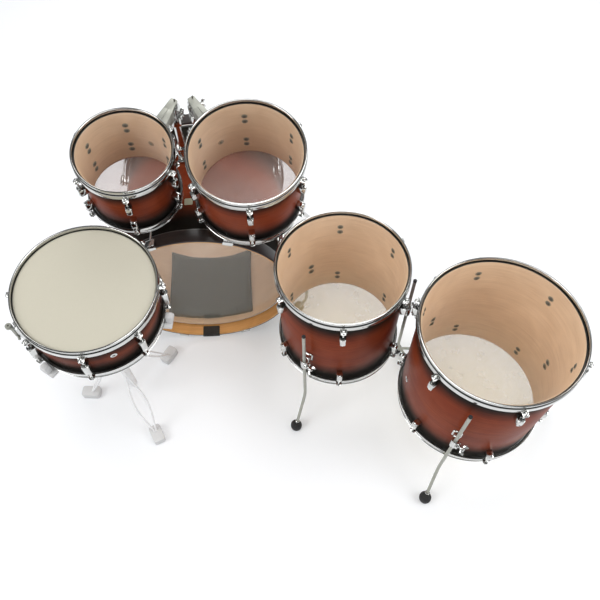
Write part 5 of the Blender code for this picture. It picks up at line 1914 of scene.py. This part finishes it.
@dataclass
class LegSet:
    """The three legs of a floor tom and their brackets. Heights are above the floor."""

    drum: Drum
    angles: tuple[float, float, float]
    top: float
    bracket: float
    bend: float
    spread: float
    stand_off: float = 0.0275

    def leg(self) -> Form:
        """Bent leg with a black rubber cap on its top, painted shade and painted dark reflection of the leg's end,
        and a rubber foot on the floor, about its bracket's axis.

        Returns:
            The leg, with its bar, rubber and collar in finishes 0, 1 and 2.
        """
        path = eased([(0, 0, self.top - 0.003), (0, 0, self.bend), (self.spread, 0, 0.018)], 0.03, 8)
        bar = tube(path, 0.0048, 20)
        # The cap in black rubber stands in for the leg's dark top: painted shade and painted dark reflection.
        cap = [(0.0053, self.top - 0.0046), (0.0053, self.top - 0.0012), (0.0044, self.top)]
        foot = [
            (0.0, 0.0), (0.0114, 0.0), (0.0152, 0.0022), (0.0176, 0.008), (0.0185, 0.016), (0.018, 0.0225),
            (0.0156, 0.029), (0.0104, 0.034), (0.0, 0.036),
        ]
        along = (path[-2] - path[-1]).normalized()
        band = [(0.0074, 0.015), (0.008, 0.016), (0.008, 0.0225), (0.0066, 0.024)]
        collar = spindle(path[-1], along, band, 24)
        rubber = lathe(foot, 40).moved(shift(self.spread, 0, 0)).plus(spindle(ORIGIN, UP, cap, 20))
        return bar.plus(rubber.in_finish(1), collar.in_finish(2))

    def clamp(self) -> Form:
        """Leg bracket: plate, block, ring round the leg, and the eye bolt with its wings.

        Returns:
            The bracket, on the drum's +X side.
        """
        r = self.drum.radius
        h = self.bracket - self.drum.place[2]
        x = r + self.stand_off
        plate = shell_plate(r + SEAT, 0.0026, 0.013, h - 0.02, h + 0.02, 0.006)
        foot = [(r + 0.001, -0.0105), (r + 0.0195, -0.008), (r + 0.0195, 0.008), (r + 0.001, 0.0105)]
        body = prism(foot, h - 0.015, h + 0.015, 0.0022)
        ring = washer_ring(0.0051, 0.0104, h - 0.018, h + 0.018, 0.0014).moved(shift(x, 0, 0))
        slit = block((x - 0.0008, 0.003, h - 0.03), (x + 0.0008, 0.014, h + 0.03))
        out = Vector((0.35, 1, 0)).normalized()
        boss = [(0.009, 0.007), (0.0112, 0.0086), (0.0112, 0.013)]
        boss += [(0.0098, 0.0146), (0.0056, 0.0146), (0.0056, 0.016)]
        form = plate.plus(body, pierced(ring, [slit]), spindle((x, 0, h), out, boss, 32))
        return form.plus(wing_bolt(Vector((x, 0, h)) + out * 0.013, out, 15.0))

    def inner_screws(self) -> Form:
        """Washers and screw heads of one leg bracket, on the inside of the shell.

        Returns:
            The washers and screws, on the drum's +X side.
        """
        inner = self.drum.radius - self.drum.wall
        middle = self.bracket - self.drum.place[2]
        form = Form()
        for height in (middle - 0.013, middle + 0.013):
            start = (inner + SINK, 0, height)
            washer = spindle(start, IN, [(0.0096, 0.0), (0.0099, 0.0004), (0.0094, 0.0012)], 24)
            form = form.plus(washer, dome(start, IN, 0.0056, 0.004).in_finish(1))
        return form

    def build(self) -> None:
        """Put in the legs and their brackets."""
        name = self.drum.name
        x, y, _ = self.drum.place
        for number, angle in enumerate(self.angles, 1):
            self.drum.put(f"leg_bracket_{number}", self.clamp().moved(about_z(angle)), [CHROME])
            screws = self.inner_screws().moved(about_z(angle))
            self.drum.put(f"leg_bracket_screws_{number}", screws, [ZINC, DARK_STEEL])
            place = LAYOUT @ shift(x, y, 0) @ about_z(angle) @ shift(self.drum.radius + self.stand_off, 0, 0)
            node = f"{name}_leg_{number}"
            put(f"{node}_look", self.leg(), [SATIN, RUBBER, CHROME], place, node, [node], "chromed_steel")


def strand_tree() -> Tree:
    """Geometry nodes that coil the strands of snare wires side by side.

    Returns:
        The tree, with the inputs Strands, Pitch, Length, Turns, Coil, Wire and Finish.
    """
    given = [("Piece", "Geometry", None), ("Strands", "Int", 12), ("Pitch", "Float", 0.0034)]
    given += [("Length", "Float", 0.3), ("Turns", "Float", 170.0), ("Coil", "Float", 0.0007)]
    given += [("Wire", "Float", 0.0002), ("Finish", "Material", None)]
    group = Group("coiled_strands", "GeometryNodeTree", given, ["Pieces"], "Geometry")
    coil = group.add("GeometryNodeCurveSpiral", {"Resolution": 6})
    ring = group.add("GeometryNodeCurvePrimitiveCircle", {"Resolution": 4})
    swept_coil = group.add("GeometryNodeCurveToMesh", {"Fill Caps": True})
    line = group.add("GeometryNodeMeshLine")
    offset = group.add("ShaderNodeCombineXYZ")
    copies = group.add("GeometryNodeInstanceOnPoints")
    group.wire(
        (group.given["Turns"], coil.inputs["Rotations"]),
        (group.given["Coil"], coil.inputs["Start Radius"]),
        (group.given["Coil"], coil.inputs["End Radius"]),
        (group.given["Length"], coil.inputs["Height"]),
        (group.given["Wire"], ring.inputs["Radius"]),
        (coil.outputs["Curve"], swept_coil.inputs["Curve"]),
        (ring.outputs["Curve"], swept_coil.inputs["Profile Curve"]),
        (group.given["Strands"], line.inputs["Count"]),
        (group.given["Pitch"], offset.inputs["Y"]),
        (offset.outputs[0], line.inputs["Offset"]),
        (line.outputs["Mesh"], copies.inputs["Points"]),
        (swept_coil.outputs["Mesh"], copies.inputs["Instance"]),
    )
    return end_tree(group, copies)


@dataclass
class SnareFittings:
    """Strainer, lever, butt and wires of the snare drum."""

    drum: Drum
    angle: float = STRAINER_ANGLE

    def strainer(self) -> Form:
        """Strainer: a back plate, a body with a slide in front, and the clamp for the strap.

        Returns:
            The strainer, in the drum's frame.
        """
        r = self.drum.radius
        plate = shell_plate(r + SEAT, 0.0024, 0.015, -0.101, -0.036, 0.006)
        body = block((r + 0.001, -0.015, -0.098), (r + 0.0165, 0.015, -0.04), 0.003)
        rails = block((r + 0.014, -0.01, -0.099), (r + 0.02, -0.0065, -0.042), 0.0014)
        slide = block((r + 0.0145, -0.006, -0.102), (r + 0.019, 0.006, -0.048), 0.0014)
        clamp = block((r + 0.012, -0.013, -0.1018), (r + 0.0165, 0.013, -0.093), 0.0014)
        form = plate.plus(body, rails, rails.moved(MIRROR_Y), slide, clamp)
        for y in (-0.008, 0.008):
            form = form.plus(dome((r + 0.015, y, -0.0975), OUT, 0.0026, 0.0016).in_finish(1))
        return form.moved(about_z(self.angle))

    def butt(self) -> Form:
        """Butt: a block with a clamping plate and two screws.

        Returns:
            The butt, in the drum's frame.
        """
        r = self.drum.radius
        plate = shell_plate(r + SEAT, 0.0024, 0.018, -0.101, -0.064, 0.005)
        body = block((r + 0.001, -0.0165, -0.099), (r + 0.0095, 0.0165, -0.067), 0.0024)
        clamp = block((r + 0.009, -0.0175, -0.1018), (r + 0.0135, 0.0175, -0.085), 0.0014)
        form = plate.plus(body, clamp)
        for y in (-0.011, 0.011):
            form = form.plus(dome((r + 0.0133, y, -0.093), OUT, 0.0032, 0.002).in_finish(1))
        return form.moved(about_z(self.angle - 180))

    def lever(self) -> Form:
        """Lever: a knuckle on the hinge and a blade with a rounded, ribbed end.

        Returns:
            The lever, with its hinge on the origin.
        """
        outline = [(-0.0045, 0.0), (0.0045, 0.0), (0.006, 0.03)]
        outline += [(0.006, 0.058), (-0.006, 0.058), (-0.006, 0.03)]
        blade = sideways(prism(rounded(outline, [0, 0, 0.004, 0.0058, 0.0058, 0.004], 6), -0.0022, 0.0052, 0.0014))
        form = blade.plus(rod((0, -0.015, 0), (0, 0.015, 0), 0.0035, 24, 0.0008))
        for height in (0.04, 0.044, 0.048):
            form = form.plus(block((0.0044, -0.0042, height), (0.0062, 0.0042, height + 0.0018), 0.0005))
        knob = [(0.006, 0.0), (0.0084, 0.0012), (0.0084, 0.0084), (0.0074, 0.01), (0.003, 0.0102)]
        knob_form = spindle((0.0054, 0, 0.05), UP, knob, 32)
        return form.plus(knob_form, dome((0.0054, 0, 0.06), UP, 0.0026, 0.001).in_finish(1))

    def build(self) -> None:
        """Put in the snare drum's fittings."""
        drum = self.drum
        drum.put("strainer", self.strainer(), [CHROME, DARK_STEEL])
        drum.put("butt", self.butt(), [CHROME, DARK_STEEL])
        hinge = drum.matrix @ about_z(self.angle) @ shift(drum.radius + 0.0239, 0, -0.092)
        node = "snare_throw_off_lever"
        put(f"{node}_look", self.lever(), [SATIN, DARK_STEEL], hinge, "throw_off_lever", [node], "chromed_steel")
        top = -drum.depth - 0.0004
        along = drum.matrix @ about_z(self.angle - 180)
        ends = Form()
        for sign in (-1, 1):
            x = sign * 0.154
            ends = ends.plus(block((x - 0.006, -0.0205, top - 0.0029), (x + 0.006, 0.0205, top - 0.0002), 0.0006))
            reach = drum.radius + drum.rod_standoff
            low = top - 0.0014
            outline = [
                (0.154, low), (reach - 0.002, low), (reach, low + 0.002), (reach, -0.1026),
                (reach - 0.0007, -0.1026), (reach - 0.0007, low + 0.0026), (reach - 0.0026, low + 0.0007),
                (0.154, low + 0.0007),
            ]
            strap = upright(prism(outline, -0.012, 0.012))
            ends = ends.plus(strap if sign > 0 else strap.moved(about_z(180)))
        put("snare_wires_look", ends, [CHROME], along, drum.body, ["snare_wires"], "chromed_steel")
        values = {
            "Strands": 12,
            "Pitch": 0.0034,
            "Length": 0.3,
            "Turns": 170.0,
            "Coil": 0.0007,
            "Wire": 0.0002,
            "Finish": CHROME,
        }
        strands = grown(Form([Vector((0, 0, 0))], [], []), strand_tree(), values)
        strands.transform(shift(-0.15, -0.0187, top - 0.0012) @ aim(ORIGIN, OUT))
        put("snare_wire_strands_look", strands, [CHROME], along, drum.body)


@dataclass
class SnareStand:
    """Snare stand: column, tripod, inner tube, and the basket under the drum."""

    drum: Drum
    x: float = -0.262
    y: float = -0.48
    tripod: tuple[float, float, float] = (55.0, 175.0, 295.0)
    basket: tuple[float, float, float] = (113.5, 233.5, 353.5)
    leg_reach: float = 0.029
    leg_height: float = 0.285
    tilt_depth: float = 0.238
    arm_reach: float = 0.03
    arm_depth: float = 0.209

    @property
    def foot_frame(self) -> Matrix:
        """Matrix from the column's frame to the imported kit."""
        return LAYOUT @ shift(self.x, self.y, 0)

    def ears(self, inner: float, outer: float, clear: float, width: float, low: float, high: float) -> Form:
        """A pair of ears beside a hinged leg or arm.

        Args:
            inner: Where they begin, from the axis.
            outer: Where they end, from the axis.
            clear: Half the gap between them.
            width: Thickness of each.
            low: Height of their underside.
            high: Height of their top.

        Returns:
            The ears with their pin.
        """
        ear = block((inner, clear, low), (outer, clear + width, high), 0.0012)
        x = outer - 0.0068
        z = (low + high) / 2
        half = clear + width + 0.001
        pin = rod((x, -half, z), (x, half, z), 0.0024, 16)
        return ear.plus(ear.moved(MIRROR_Y), pin)

    def column(self) -> Form:
        """Lower tube with its clamp and the hub that carries the legs.

        Returns:
            The column, with its axis on the origin.
        """
        pipe = [(0.0113, 0.1004), (0.0145, 0.1004), (0.0145, 0.36), (0.0113, 0.36)]
        clamp = [(0.0113, 0.334), (0.022, 0.334), (0.022, 0.372), (0.0113, 0.372)]
        hub = [(0.014, 0.27), (0.021, 0.27), (0.021, 0.3), (0.014, 0.3)]
        form = lathe(rounded(pipe, 0.0008, 3), 48)
        form = form.plus(lathe(rounded(clamp, [0.0004, 0.004, 0.003, 0.0004], 4), 48))
        form = form.plus(lathe(rounded(hub, [0.0004, 0.003, 0.003, 0.0004], 4), 48))
        form = form.plus(wing_bolt((0, -0.0205, 0.353), (0, -1, 0), 90.0))
        ears = self.ears(0.017, 0.036, 0.0034, 0.003, 0.27, 0.3)
        for angle in self.tripod:
            form = form.plus(ears.moved(about_z(angle)))
        return form

    def leg(self) -> Form:
        """Tripod leg: a neck, two bowed strips that part and meet, and a rubber foot.

        Returns:
            The leg, with its hinge on the origin.
        """
        drop = self.leg_height - 0.015
        run = 0.168 - self.leg_reach
        length = math.hypot(run, drop)
        down = Matrix.Rotation(math.atan2(drop, run), 4, "Y")
        steps = 24
        form = Form()
        for sign in (-1, 1):
            path = []
            for k in range(steps + 1):
                t = k / steps
                bow = 0.018 * math.sin(math.pi * t) ** 1.5
                path.append(Vector((0.026 + (length - 0.03) * t, sign * (0.0022 + bow), 0)))
            form = form.plus(tube(path, 0.003, 14))
        form = form.plus(block((0, -0.003, -0.005), (0.034, 0.003, 0.005), 0.001))
        form = form.plus(rod((0, -0.003, 0), (0, 0.003, 0), 0.0068, 28)).moved(down)
        outline = [(-0.031, -0.019), (0.031, -0.019), (0.031, 0.019), (-0.031, 0.019)]
        foot = prism(rounded(outline, 0.011, 6), 0.0, 0.029, 0.004).moved(shift(run, 0, -self.leg_height))
        return form.plus(foot.in_finish(1))

    def inner(self) -> Form:
        """Inner tube with the yoke of the basket's tilter on a short bridge.

        Returns:
            The tube, in the column's frame.
        """
        drum = LAYOUT.inverted() @ self.drum.matrix
        pivot = drum @ Vector((0, 0, -self.tilt_depth)) - Vector((self.x, self.y, 0))
        axis = Vector(UP).cross(drum.col[2].to_3d()).normalized()
        top = pivot.z - 0.022
        pipe = rod((0, 0, 0.2), (0, 0, top - 0.02), 0.011, 40)
        cap = [(0.0128, top - 0.034), (0.014, top - 0.0328), (0.014, top - 0.0076), (0.012, top - 0.006)]
        bridge = rod((0, 0, top - 0.02), (pivot.x, pivot.y, top - 0.006), 0.012, 32, 0.002)
        head = yoke(-0.036, 0.0165).plus(wing_bolt((0.014, 0, 0), OUT, 10.0))
        head = head.moved(Matrix.Translation(pivot) @ level(axis))
        return pipe.plus(spindle(ORIGIN, UP, cap, 40), bridge, head)

    def hub(self) -> Form:
        """Basket hub on the tilter's hinge, in the snare drum's frame.

        Returns:
            The hub.
        """
        drum = LAYOUT.inverted() @ self.drum.matrix
        axis = drum.to_3x3().inverted() @ Vector(UP).cross(drum.col[2].to_3d()).normalized()
        pivot = Vector((0, 0, -self.tilt_depth))
        eye = [(0.015, 0.0), (0.0165, 0.0012), (0.0165, 0.0118), (0.015, 0.013)]
        body = [(0.014, -0.22), (0.02, -0.218), (0.02, -0.1995), (0.0185, -0.198)]
        form = spindle(pivot - axis * 0.0065, axis, eye, 40)
        form = form.plus(rod(pivot, (0, 0, -0.216), 0.006, 24), spindle(ORIGIN, UP, body, 40))
        ears = self.ears(0.016, 0.036, 0.006, 0.0038, -0.2196, -0.1984)
        for angle in self.basket:
            form = form.plus(ears.moved(about_z(angle)))
        return form

    def arm(self) -> Form:
        """Basket arm: a bent bar with an eye, and a rubber grip that holds the hoop.

        Returns:
            The arm, with its hinge on the origin.
        """
        wall = self.drum.radius + 0.0105 - self.arm_reach
        lip = -self.drum.depth - 0.011 - 0.0004 + self.arm_depth
        floor = lip - 0.012
        corners = [(0, 0, 0), (wall * 0.25, 0, 0.002), (wall * 0.8, 0, floor * 0.75), (wall, 0, floor + 0.004)]
        path = eased(corners, 0.02)
        bar = tube(path, 0.0052, 20).plus(rod((0, -0.0056, 0), (0, 0.0056, 0), 0.007, 28))
        start = wall - 0.0165
        cradle = block((start, -0.023, floor), (wall + 0.018, 0.023, lip), 0.0036)
        outline = [(-0.011, floor + 0.002), (0.011, floor + 0.002)]
        outline += [(0.01, lip + 0.033), (-0.01, lip + 0.033)]
        back = sideways(prism(rounded(outline, [0, 0, 0.007, 0.007], 6), wall + 0.0004, wall + 0.018, 0.003))
        ribs = Form()
        for k in range(5):
            height = lip + 0.004 + 0.0052 * k
            rib = block((wall + 0.0165, -0.008, height), (wall + 0.0186, 0.008, height + 0.0026), 0.0008)
            ribs = ribs.plus(rib)
        return bar.plus(cradle.plus(back, ribs).in_finish(1))

    def build(self) -> None:
        """Put in the stand."""
        foot = self.foot_frame
        steel = [PALE_STEEL, PALE_RUBBER]
        for node, form in (("stand_column", self.column()), ("stand_inner_tube", self.inner())):
            put(f"{node}_look", form, steel, foot, node, [node], "pale_steel")
        for number, angle in enumerate(self.tripod, 1):
            node = f"stand_leg_{number}"
            place = foot @ about_z(angle) @ shift(self.leg_reach, 0, self.leg_height)
            put(f"{node}_look", self.leg(), steel, place, node, [node], "pale_steel")
        node = "stand_basket_hub"
        put(f"{node}_look", self.hub(), steel, self.drum.matrix, "stand_basket", [node], "pale_steel")
        for number, angle in enumerate(self.basket, 1):
            place = self.drum.matrix @ about_z(angle) @ shift(self.arm_reach, 0, -self.arm_depth)
            node = f"stand_basket_arm_{number}"
            put(f"{node}_look", self.arm(), steel, place, f"basket_arm_{number}", [node], "pale_steel")


@dataclass
class MufflingPad:
    """Felt muffling pad that lies on the curved floor of the bass shell."""

    drum: Drum
    half_angle: float = 36.6
    turn: float = 267.9
    front: float = 0.011
    length: float = 0.29
    thickness: float = 0.02
    cap: float = 0.005
    frames: int = 12

    @property
    def rest(self) -> float:
        """Radius of the surface that it lies on."""
        return self.drum.radius - self.drum.wall - 0.0006

    def slab(self) -> Form:
        """Slack pad, thin at its rim and drawn in a little between its corners.

        Returns:
            The slab, in the drum's frame.
        """
        across = 40
        along = 32
        inset = 0.003
        points: list[Vector] = []
        for layer in (0, 1):
            for i in range(across + 1):
                u = 2 * i / across - 1
                for k in range(along + 1):
                    v = 2 * k / along - 1
                    rim = (1 - abs(u) ** 6) * (1 - abs(v) ** 6)
                    height = self.thickness * (0.3 + 0.7 * rim**0.5) if layer else 0.0006
                    pull_u = 1 - 0.01 * (1 - v * v)
                    pull_v = 1 - 0.012 * (1 - u * u)
                    angle = self.turn + u * pull_u * (self.half_angle - math.degrees(inset / self.rest))
                    middle = -self.front - self.length / 2
                    points.append(polar(self.rest - height, angle, middle - v * pull_v * (self.length / 2 - inset)))
        step = along + 1
        second = (across + 1) * step
        faces: list[tuple[int, ...]] = []
        for i in range(across):
            for k in range(along):
                a = i * step + k
                faces.append((a, a + step, a + step + 1, a + 1))
                faces.append((second + a, second + a + 1, second + a + step + 1, second + a + step))
        for i in range(across):
            for k in (0, along):
                a = i * step + k
                quad = (a, second + a, second + a + step, a + step)
                faces.append(quad if k == 0 else tuple(reversed(quad)))
        for k in range(along):
            for i in (0, across):
                a = i * step + k
                quad = (a, a + 1, second + a + 1, second + a)
                faces.append(quad if i == 0 else tuple(reversed(quad)))
        return Form(points, faces, [0] * len(faces)).outward()

    def filled(self) -> Mesh:
        """Fill the slab with pressure as cloth, and keep what lies on the shell flat against it.

        Returns:
            The mesh, in the drum's frame.
        """
        thing = linked("pad", self.slab().mesh("pad"))
        scene = bpy.context.scene
        step = thing.modifiers.new("Remesh", "REMESH")
        step.mode = "VOXEL"
        step.voxel_size = 0.005
        thing.data = evaluated(thing)
        thing.modifiers.clear()
        slack = [vertex.co.copy() for vertex in thing.data.vertices]
        cloth = thing.modifiers.new("Cloth", "CLOTH")
        cloth.settings.use_pressure = True
        cloth.settings.uniform_pressure_force = 4.0
        cloth.settings.effector_weights.gravity = 0.0
        cloth.point_cache.frame_start = 1
        cloth.point_cache.frame_end = self.frames
        for number in range(1, self.frames + 1):
            scene.frame_set(number)
        result = evaluated(thing)
        scene.frame_set(1)
        for vertex, start in zip(result.vertices, slack):
            move = vertex.co - start
            if move.length > self.cap:
                vertex.co = start + move.normalized() * self.cap
            reach = math.hypot(vertex.co.x, vertex.co.y)
            if reach > self.rest:
                vertex.co.x *= self.rest / reach
                vertex.co.y *= self.rest / reach
        bpy.data.objects.remove(thing, do_unlink=True)
        return result

    def build(self) -> None:
        """Put in the pad."""
        mesh = self.filled()
        drum = self.drum
        node = "bass_muffling_pad"
        pad = put(f"{node}_look", mesh, [FELT], drum.matrix, "kit", [node], "grey_felt", 80.0)


# Studio


@dataclass
class Studio:
    """Camera, lamps, floor and surroundings."""

    focal_length: float = 35.85
    shift_x: float = 0.0208
    shift_y: float = -0.0325
    place: tuple[float, float, float] = (-0.05276, -0.98532, 1.955)
    yaw: float = -0.139
    pitch: float = 57.294
    roll: float = -3.781
    lamp_power: float = 15.0

    def camera(self) -> None:
        """Stand the camera where the photograph was taken from."""
        yaw = math.radians(self.yaw)
        pitch = math.radians(self.pitch)
        roll = math.radians(self.roll)
        forward = Vector((-math.sin(yaw) * math.cos(pitch), math.cos(yaw) * math.cos(pitch), -math.sin(pitch)))
        right = Vector((math.cos(yaw), math.sin(yaw), 0))
        up = right.cross(forward)
        side = right * math.cos(roll) + up * math.sin(roll)
        top = up * math.cos(roll) - right * math.sin(roll)
        lens = bpy.data.cameras.new("camera")
        lens.lens = self.focal_length
        lens.shift_x = self.shift_x
        lens.shift_y = self.shift_y
        lens.clip_start = 0.05
        lens.clip_end = 60.0
        camera = linked("camera", lens)
        matrix = Matrix((side, top, -forward)).transposed().to_4x4()
        matrix.translation = Vector(self.place)
        camera.matrix_world = matrix
        bpy.context.scene.camera = camera

    def floor(self) -> None:
        """Lay a pale floor that shows as white where no shadow falls."""
        half = 30.0
        corners = [Vector((x * half, y * half, 0)) for x, y in ((-1, -1), (1, -1), (1, 1), (-1, 1))]
        mesh = Form(corners, [(0, 1, 2, 3)]).mesh("floor")
        shader = Shader("floor")
        shader.set(Base_Color=(0.785, 0.8, 0.822, 1.0), Roughness=0.9, Specular_IOR_Level=0.0)
        path = shader.add("ShaderNodeLightPath")
        seen = shader.math("MAXIMUM", path.outputs["Is Camera Ray"], path.outputs["Is Glossy Ray"])
        seen = shader.math("MAXIMUM", seen, path.outputs["Is Transmission Ray"])
        shader.feed("Emission Strength", shader.math("MULTIPLY", seen, 0.22))
        shader.set(Emission_Color=(1.0, 1.0, 1.0, 1.0))
        mesh.materials.append(shader.material)
        linked("floor", mesh)

    def lamp(self, name: str, place: Point, target: Point, size: float, power: float) -> None:
        """Hang a soft square lamp.

        Args:
            name: Its name.
            place: Where it hangs.
            target: What it points at.
            size: Its side.
            power: Its power in watts.
        """
        light = bpy.data.lights.new(name, "AREA")
        light.size = size
        light.energy = power
        lamp = linked(name, light)
        lamp.location = place
        direction = Vector(target) - Vector(place)
        lamp.rotation_euler = direction.to_track_quat("-Z", "Y").to_euler()

    def lamps(self) -> None:
        """Hang the studio's lamps."""
        middle = (0.0, 0.0, 0.4)
        self.lamp("lamp_left", (-2.6, -1.2, 2.9), middle, 1.8, self.lamp_power * 3.2)
        self.lamp("lamp_right", (2.9, -1.0, 2.7), middle, 1.8, self.lamp_power * 3.2)
        self.lamp("lamp_back", (0.2, 3.0, 2.6), middle, 2.0, self.lamp_power * 2.4)
        self.lamp("lamp_top", (0.3, 0.1, 3.4), middle, 1.6, self.lamp_power * 2.0)

    def surroundings(self) -> None:
        """Set the soft light from all round, and the darker room that metal mirrors."""
        world = bpy.data.worlds.new("studio")
        world.use_nodes = True
        bpy.context.scene.world = world
        world.node_tree.nodes.clear()
        graph = Graph(world.node_tree)
        white = (1.0, 1.0, 1.0, 1.0)
        coordinates = graph.add("ShaderNodeTexCoord")
        parts = graph.add("ShaderNodeSeparateXYZ")
        ramp = graph.add("ShaderNodeValToRGB")
        stops = [(0.0, 0.6), (0.5, 0.3), (0.55, 0.04), (0.68, 0.06), (0.76, 0.5), (0.84, 0.6), (0.93, 0.12)]
        while len(ramp.color_ramp.elements) < len(stops):
            ramp.color_ramp.elements.new(0.5)
        for element, (at, shade) in zip(ramp.color_ramp.elements, stops):
            element.position = at
            element.color = (shade, shade, shade, 1.0)
        half = graph.add("ShaderNodeMath", {1: 0.5, 2: 0.5}, operation="MULTIPLY_ADD")
        room = graph.add("ShaderNodeBackground")
        soft = graph.add("ShaderNodeBackground", {"Color": white, "Strength": 0.5})
        backdrop = graph.add("ShaderNodeBackground", {"Color": white})
        path = graph.add("ShaderNodeLightPath")
        first = graph.add("ShaderNodeMixShader")
        second = graph.add("ShaderNodeMixShader")
        out = graph.add("ShaderNodeOutputWorld")
        graph.wire(
            (coordinates.outputs["Generated"], parts.inputs[0]),
            (parts.outputs["Z"], half.inputs[0]),
            (half.outputs[0], ramp.inputs["Fac"]),
            (ramp.outputs["Color"], room.inputs["Color"]),
            (path.outputs["Is Glossy Ray"], first.inputs["Fac"]),
            (soft.outputs[0], first.inputs[1]),
            (room.outputs[0], first.inputs[2]),
            (path.outputs["Is Camera Ray"], second.inputs["Fac"]),
            (first.outputs[0], second.inputs[1]),
            (backdrop.outputs[0], second.inputs[2]),
            (second.outputs[0], out.inputs["Surface"]),
        )

    def build(self) -> None:
        """Set up the whole studio."""
        self.camera()
        self.floor()
        self.lamps()
        self.surroundings()
        bpy.context.scene.view_settings.view_transform = "Standard"


RACK_FADE = (0.088, 0.027)
FLOOR_FADE = (0.118, 0.04)


def drums() -> dict[str, Drum]:
    """Returns:
        The drums by name.
    """
    level_drum = (0.0, 0.0)
    bass = (BASS_RADIUS, 0.457, 0.0085, 8, 22.5, (0, -0.2285, BASS_AXIS), level_drum, 1.7)
    small = (0.125, 0.2, TOM_WALL, 6, 34.0, (-0.126, -0.161, 0.847), (4.5, 9.7), 2.9)
    large = (0.1504, 0.225, TOM_WALL, 6, 30.5, (0.193, -0.188, 0.841), (2.1, 12.3), 4.3)
    low_small = (0.1758, 0.357, TOM_WALL, 6, 25.0, (0.426, -0.418, 0.625), level_drum, 5.1)
    low_large = (0.2012, 0.416, TOM_WALL, 6, 31.0, (0.802, -0.633, 0.6215), level_drum, 6.7)
    snare = (0.1758, 0.146, 0.0065, 8, 2.0, (-0.235, -0.473, 0.6915), (4.85, 3.25), 7.9)
    kit = [
        Bass("bass", "kit", *bass, fade=(0.17, 0.05)),
        Tom("tom_small", "rack_tom_small", *small, fade=RACK_FADE),
        Tom("tom_large", "rack_tom_large", *large, fade=RACK_FADE),
        Tom("floor_tom_small", "kit", *low_small, fade=FLOOR_FADE),
        Tom("floor_tom_large", "kit", *low_large, vents=((180.0, -0.28),), fade=FLOOR_FADE),
        Snare("snare", "snare_drum", *snare, vents=((294.0, -0.064),)),
    ]
    return {drum.name: drum for drum in kit}


def carry_over() -> None:
    """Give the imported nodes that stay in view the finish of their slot."""
    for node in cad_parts.values():
        for slot in node.material_slots:
            name = slot.material.name.split(".")[0] if slot.material else ""
            if name in SLOT_FINISHES:
                slot.material = SLOT_FINISHES[name]


def main() -> None:
    logging.basicConfig(level=logging.INFO, format="%(message)s")
    carry_over()
    kit = drums()
    for drum in kit.values():
        drum.build()
    MufflingPad(kit["bass"]).build()
    HolderBase().build()
    TomHolder("small", kit["tom_small"], 0.115, POSTS_X[0]).build()
    TomHolder("large", kit["tom_large"], 0.135, POSTS_X[1]).build()
    Spur("left", -1).build()
    Spur("right", 1).build()
    LegSet(kit["floor_tom_small"], (115.0, 235.0, 355.0), 0.558, 0.392, 0.16, 0.061).build()
    LegSet(kit["floor_tom_large"], (1.0, 121.0, 241.0), 0.565, 0.368, 0.13, 0.068).build()
    SnareFittings(kit["snare"]).build()
    SnareStand(kit["snare"]).build()
    Studio().build()


if __name__ == "__main__":
    main()
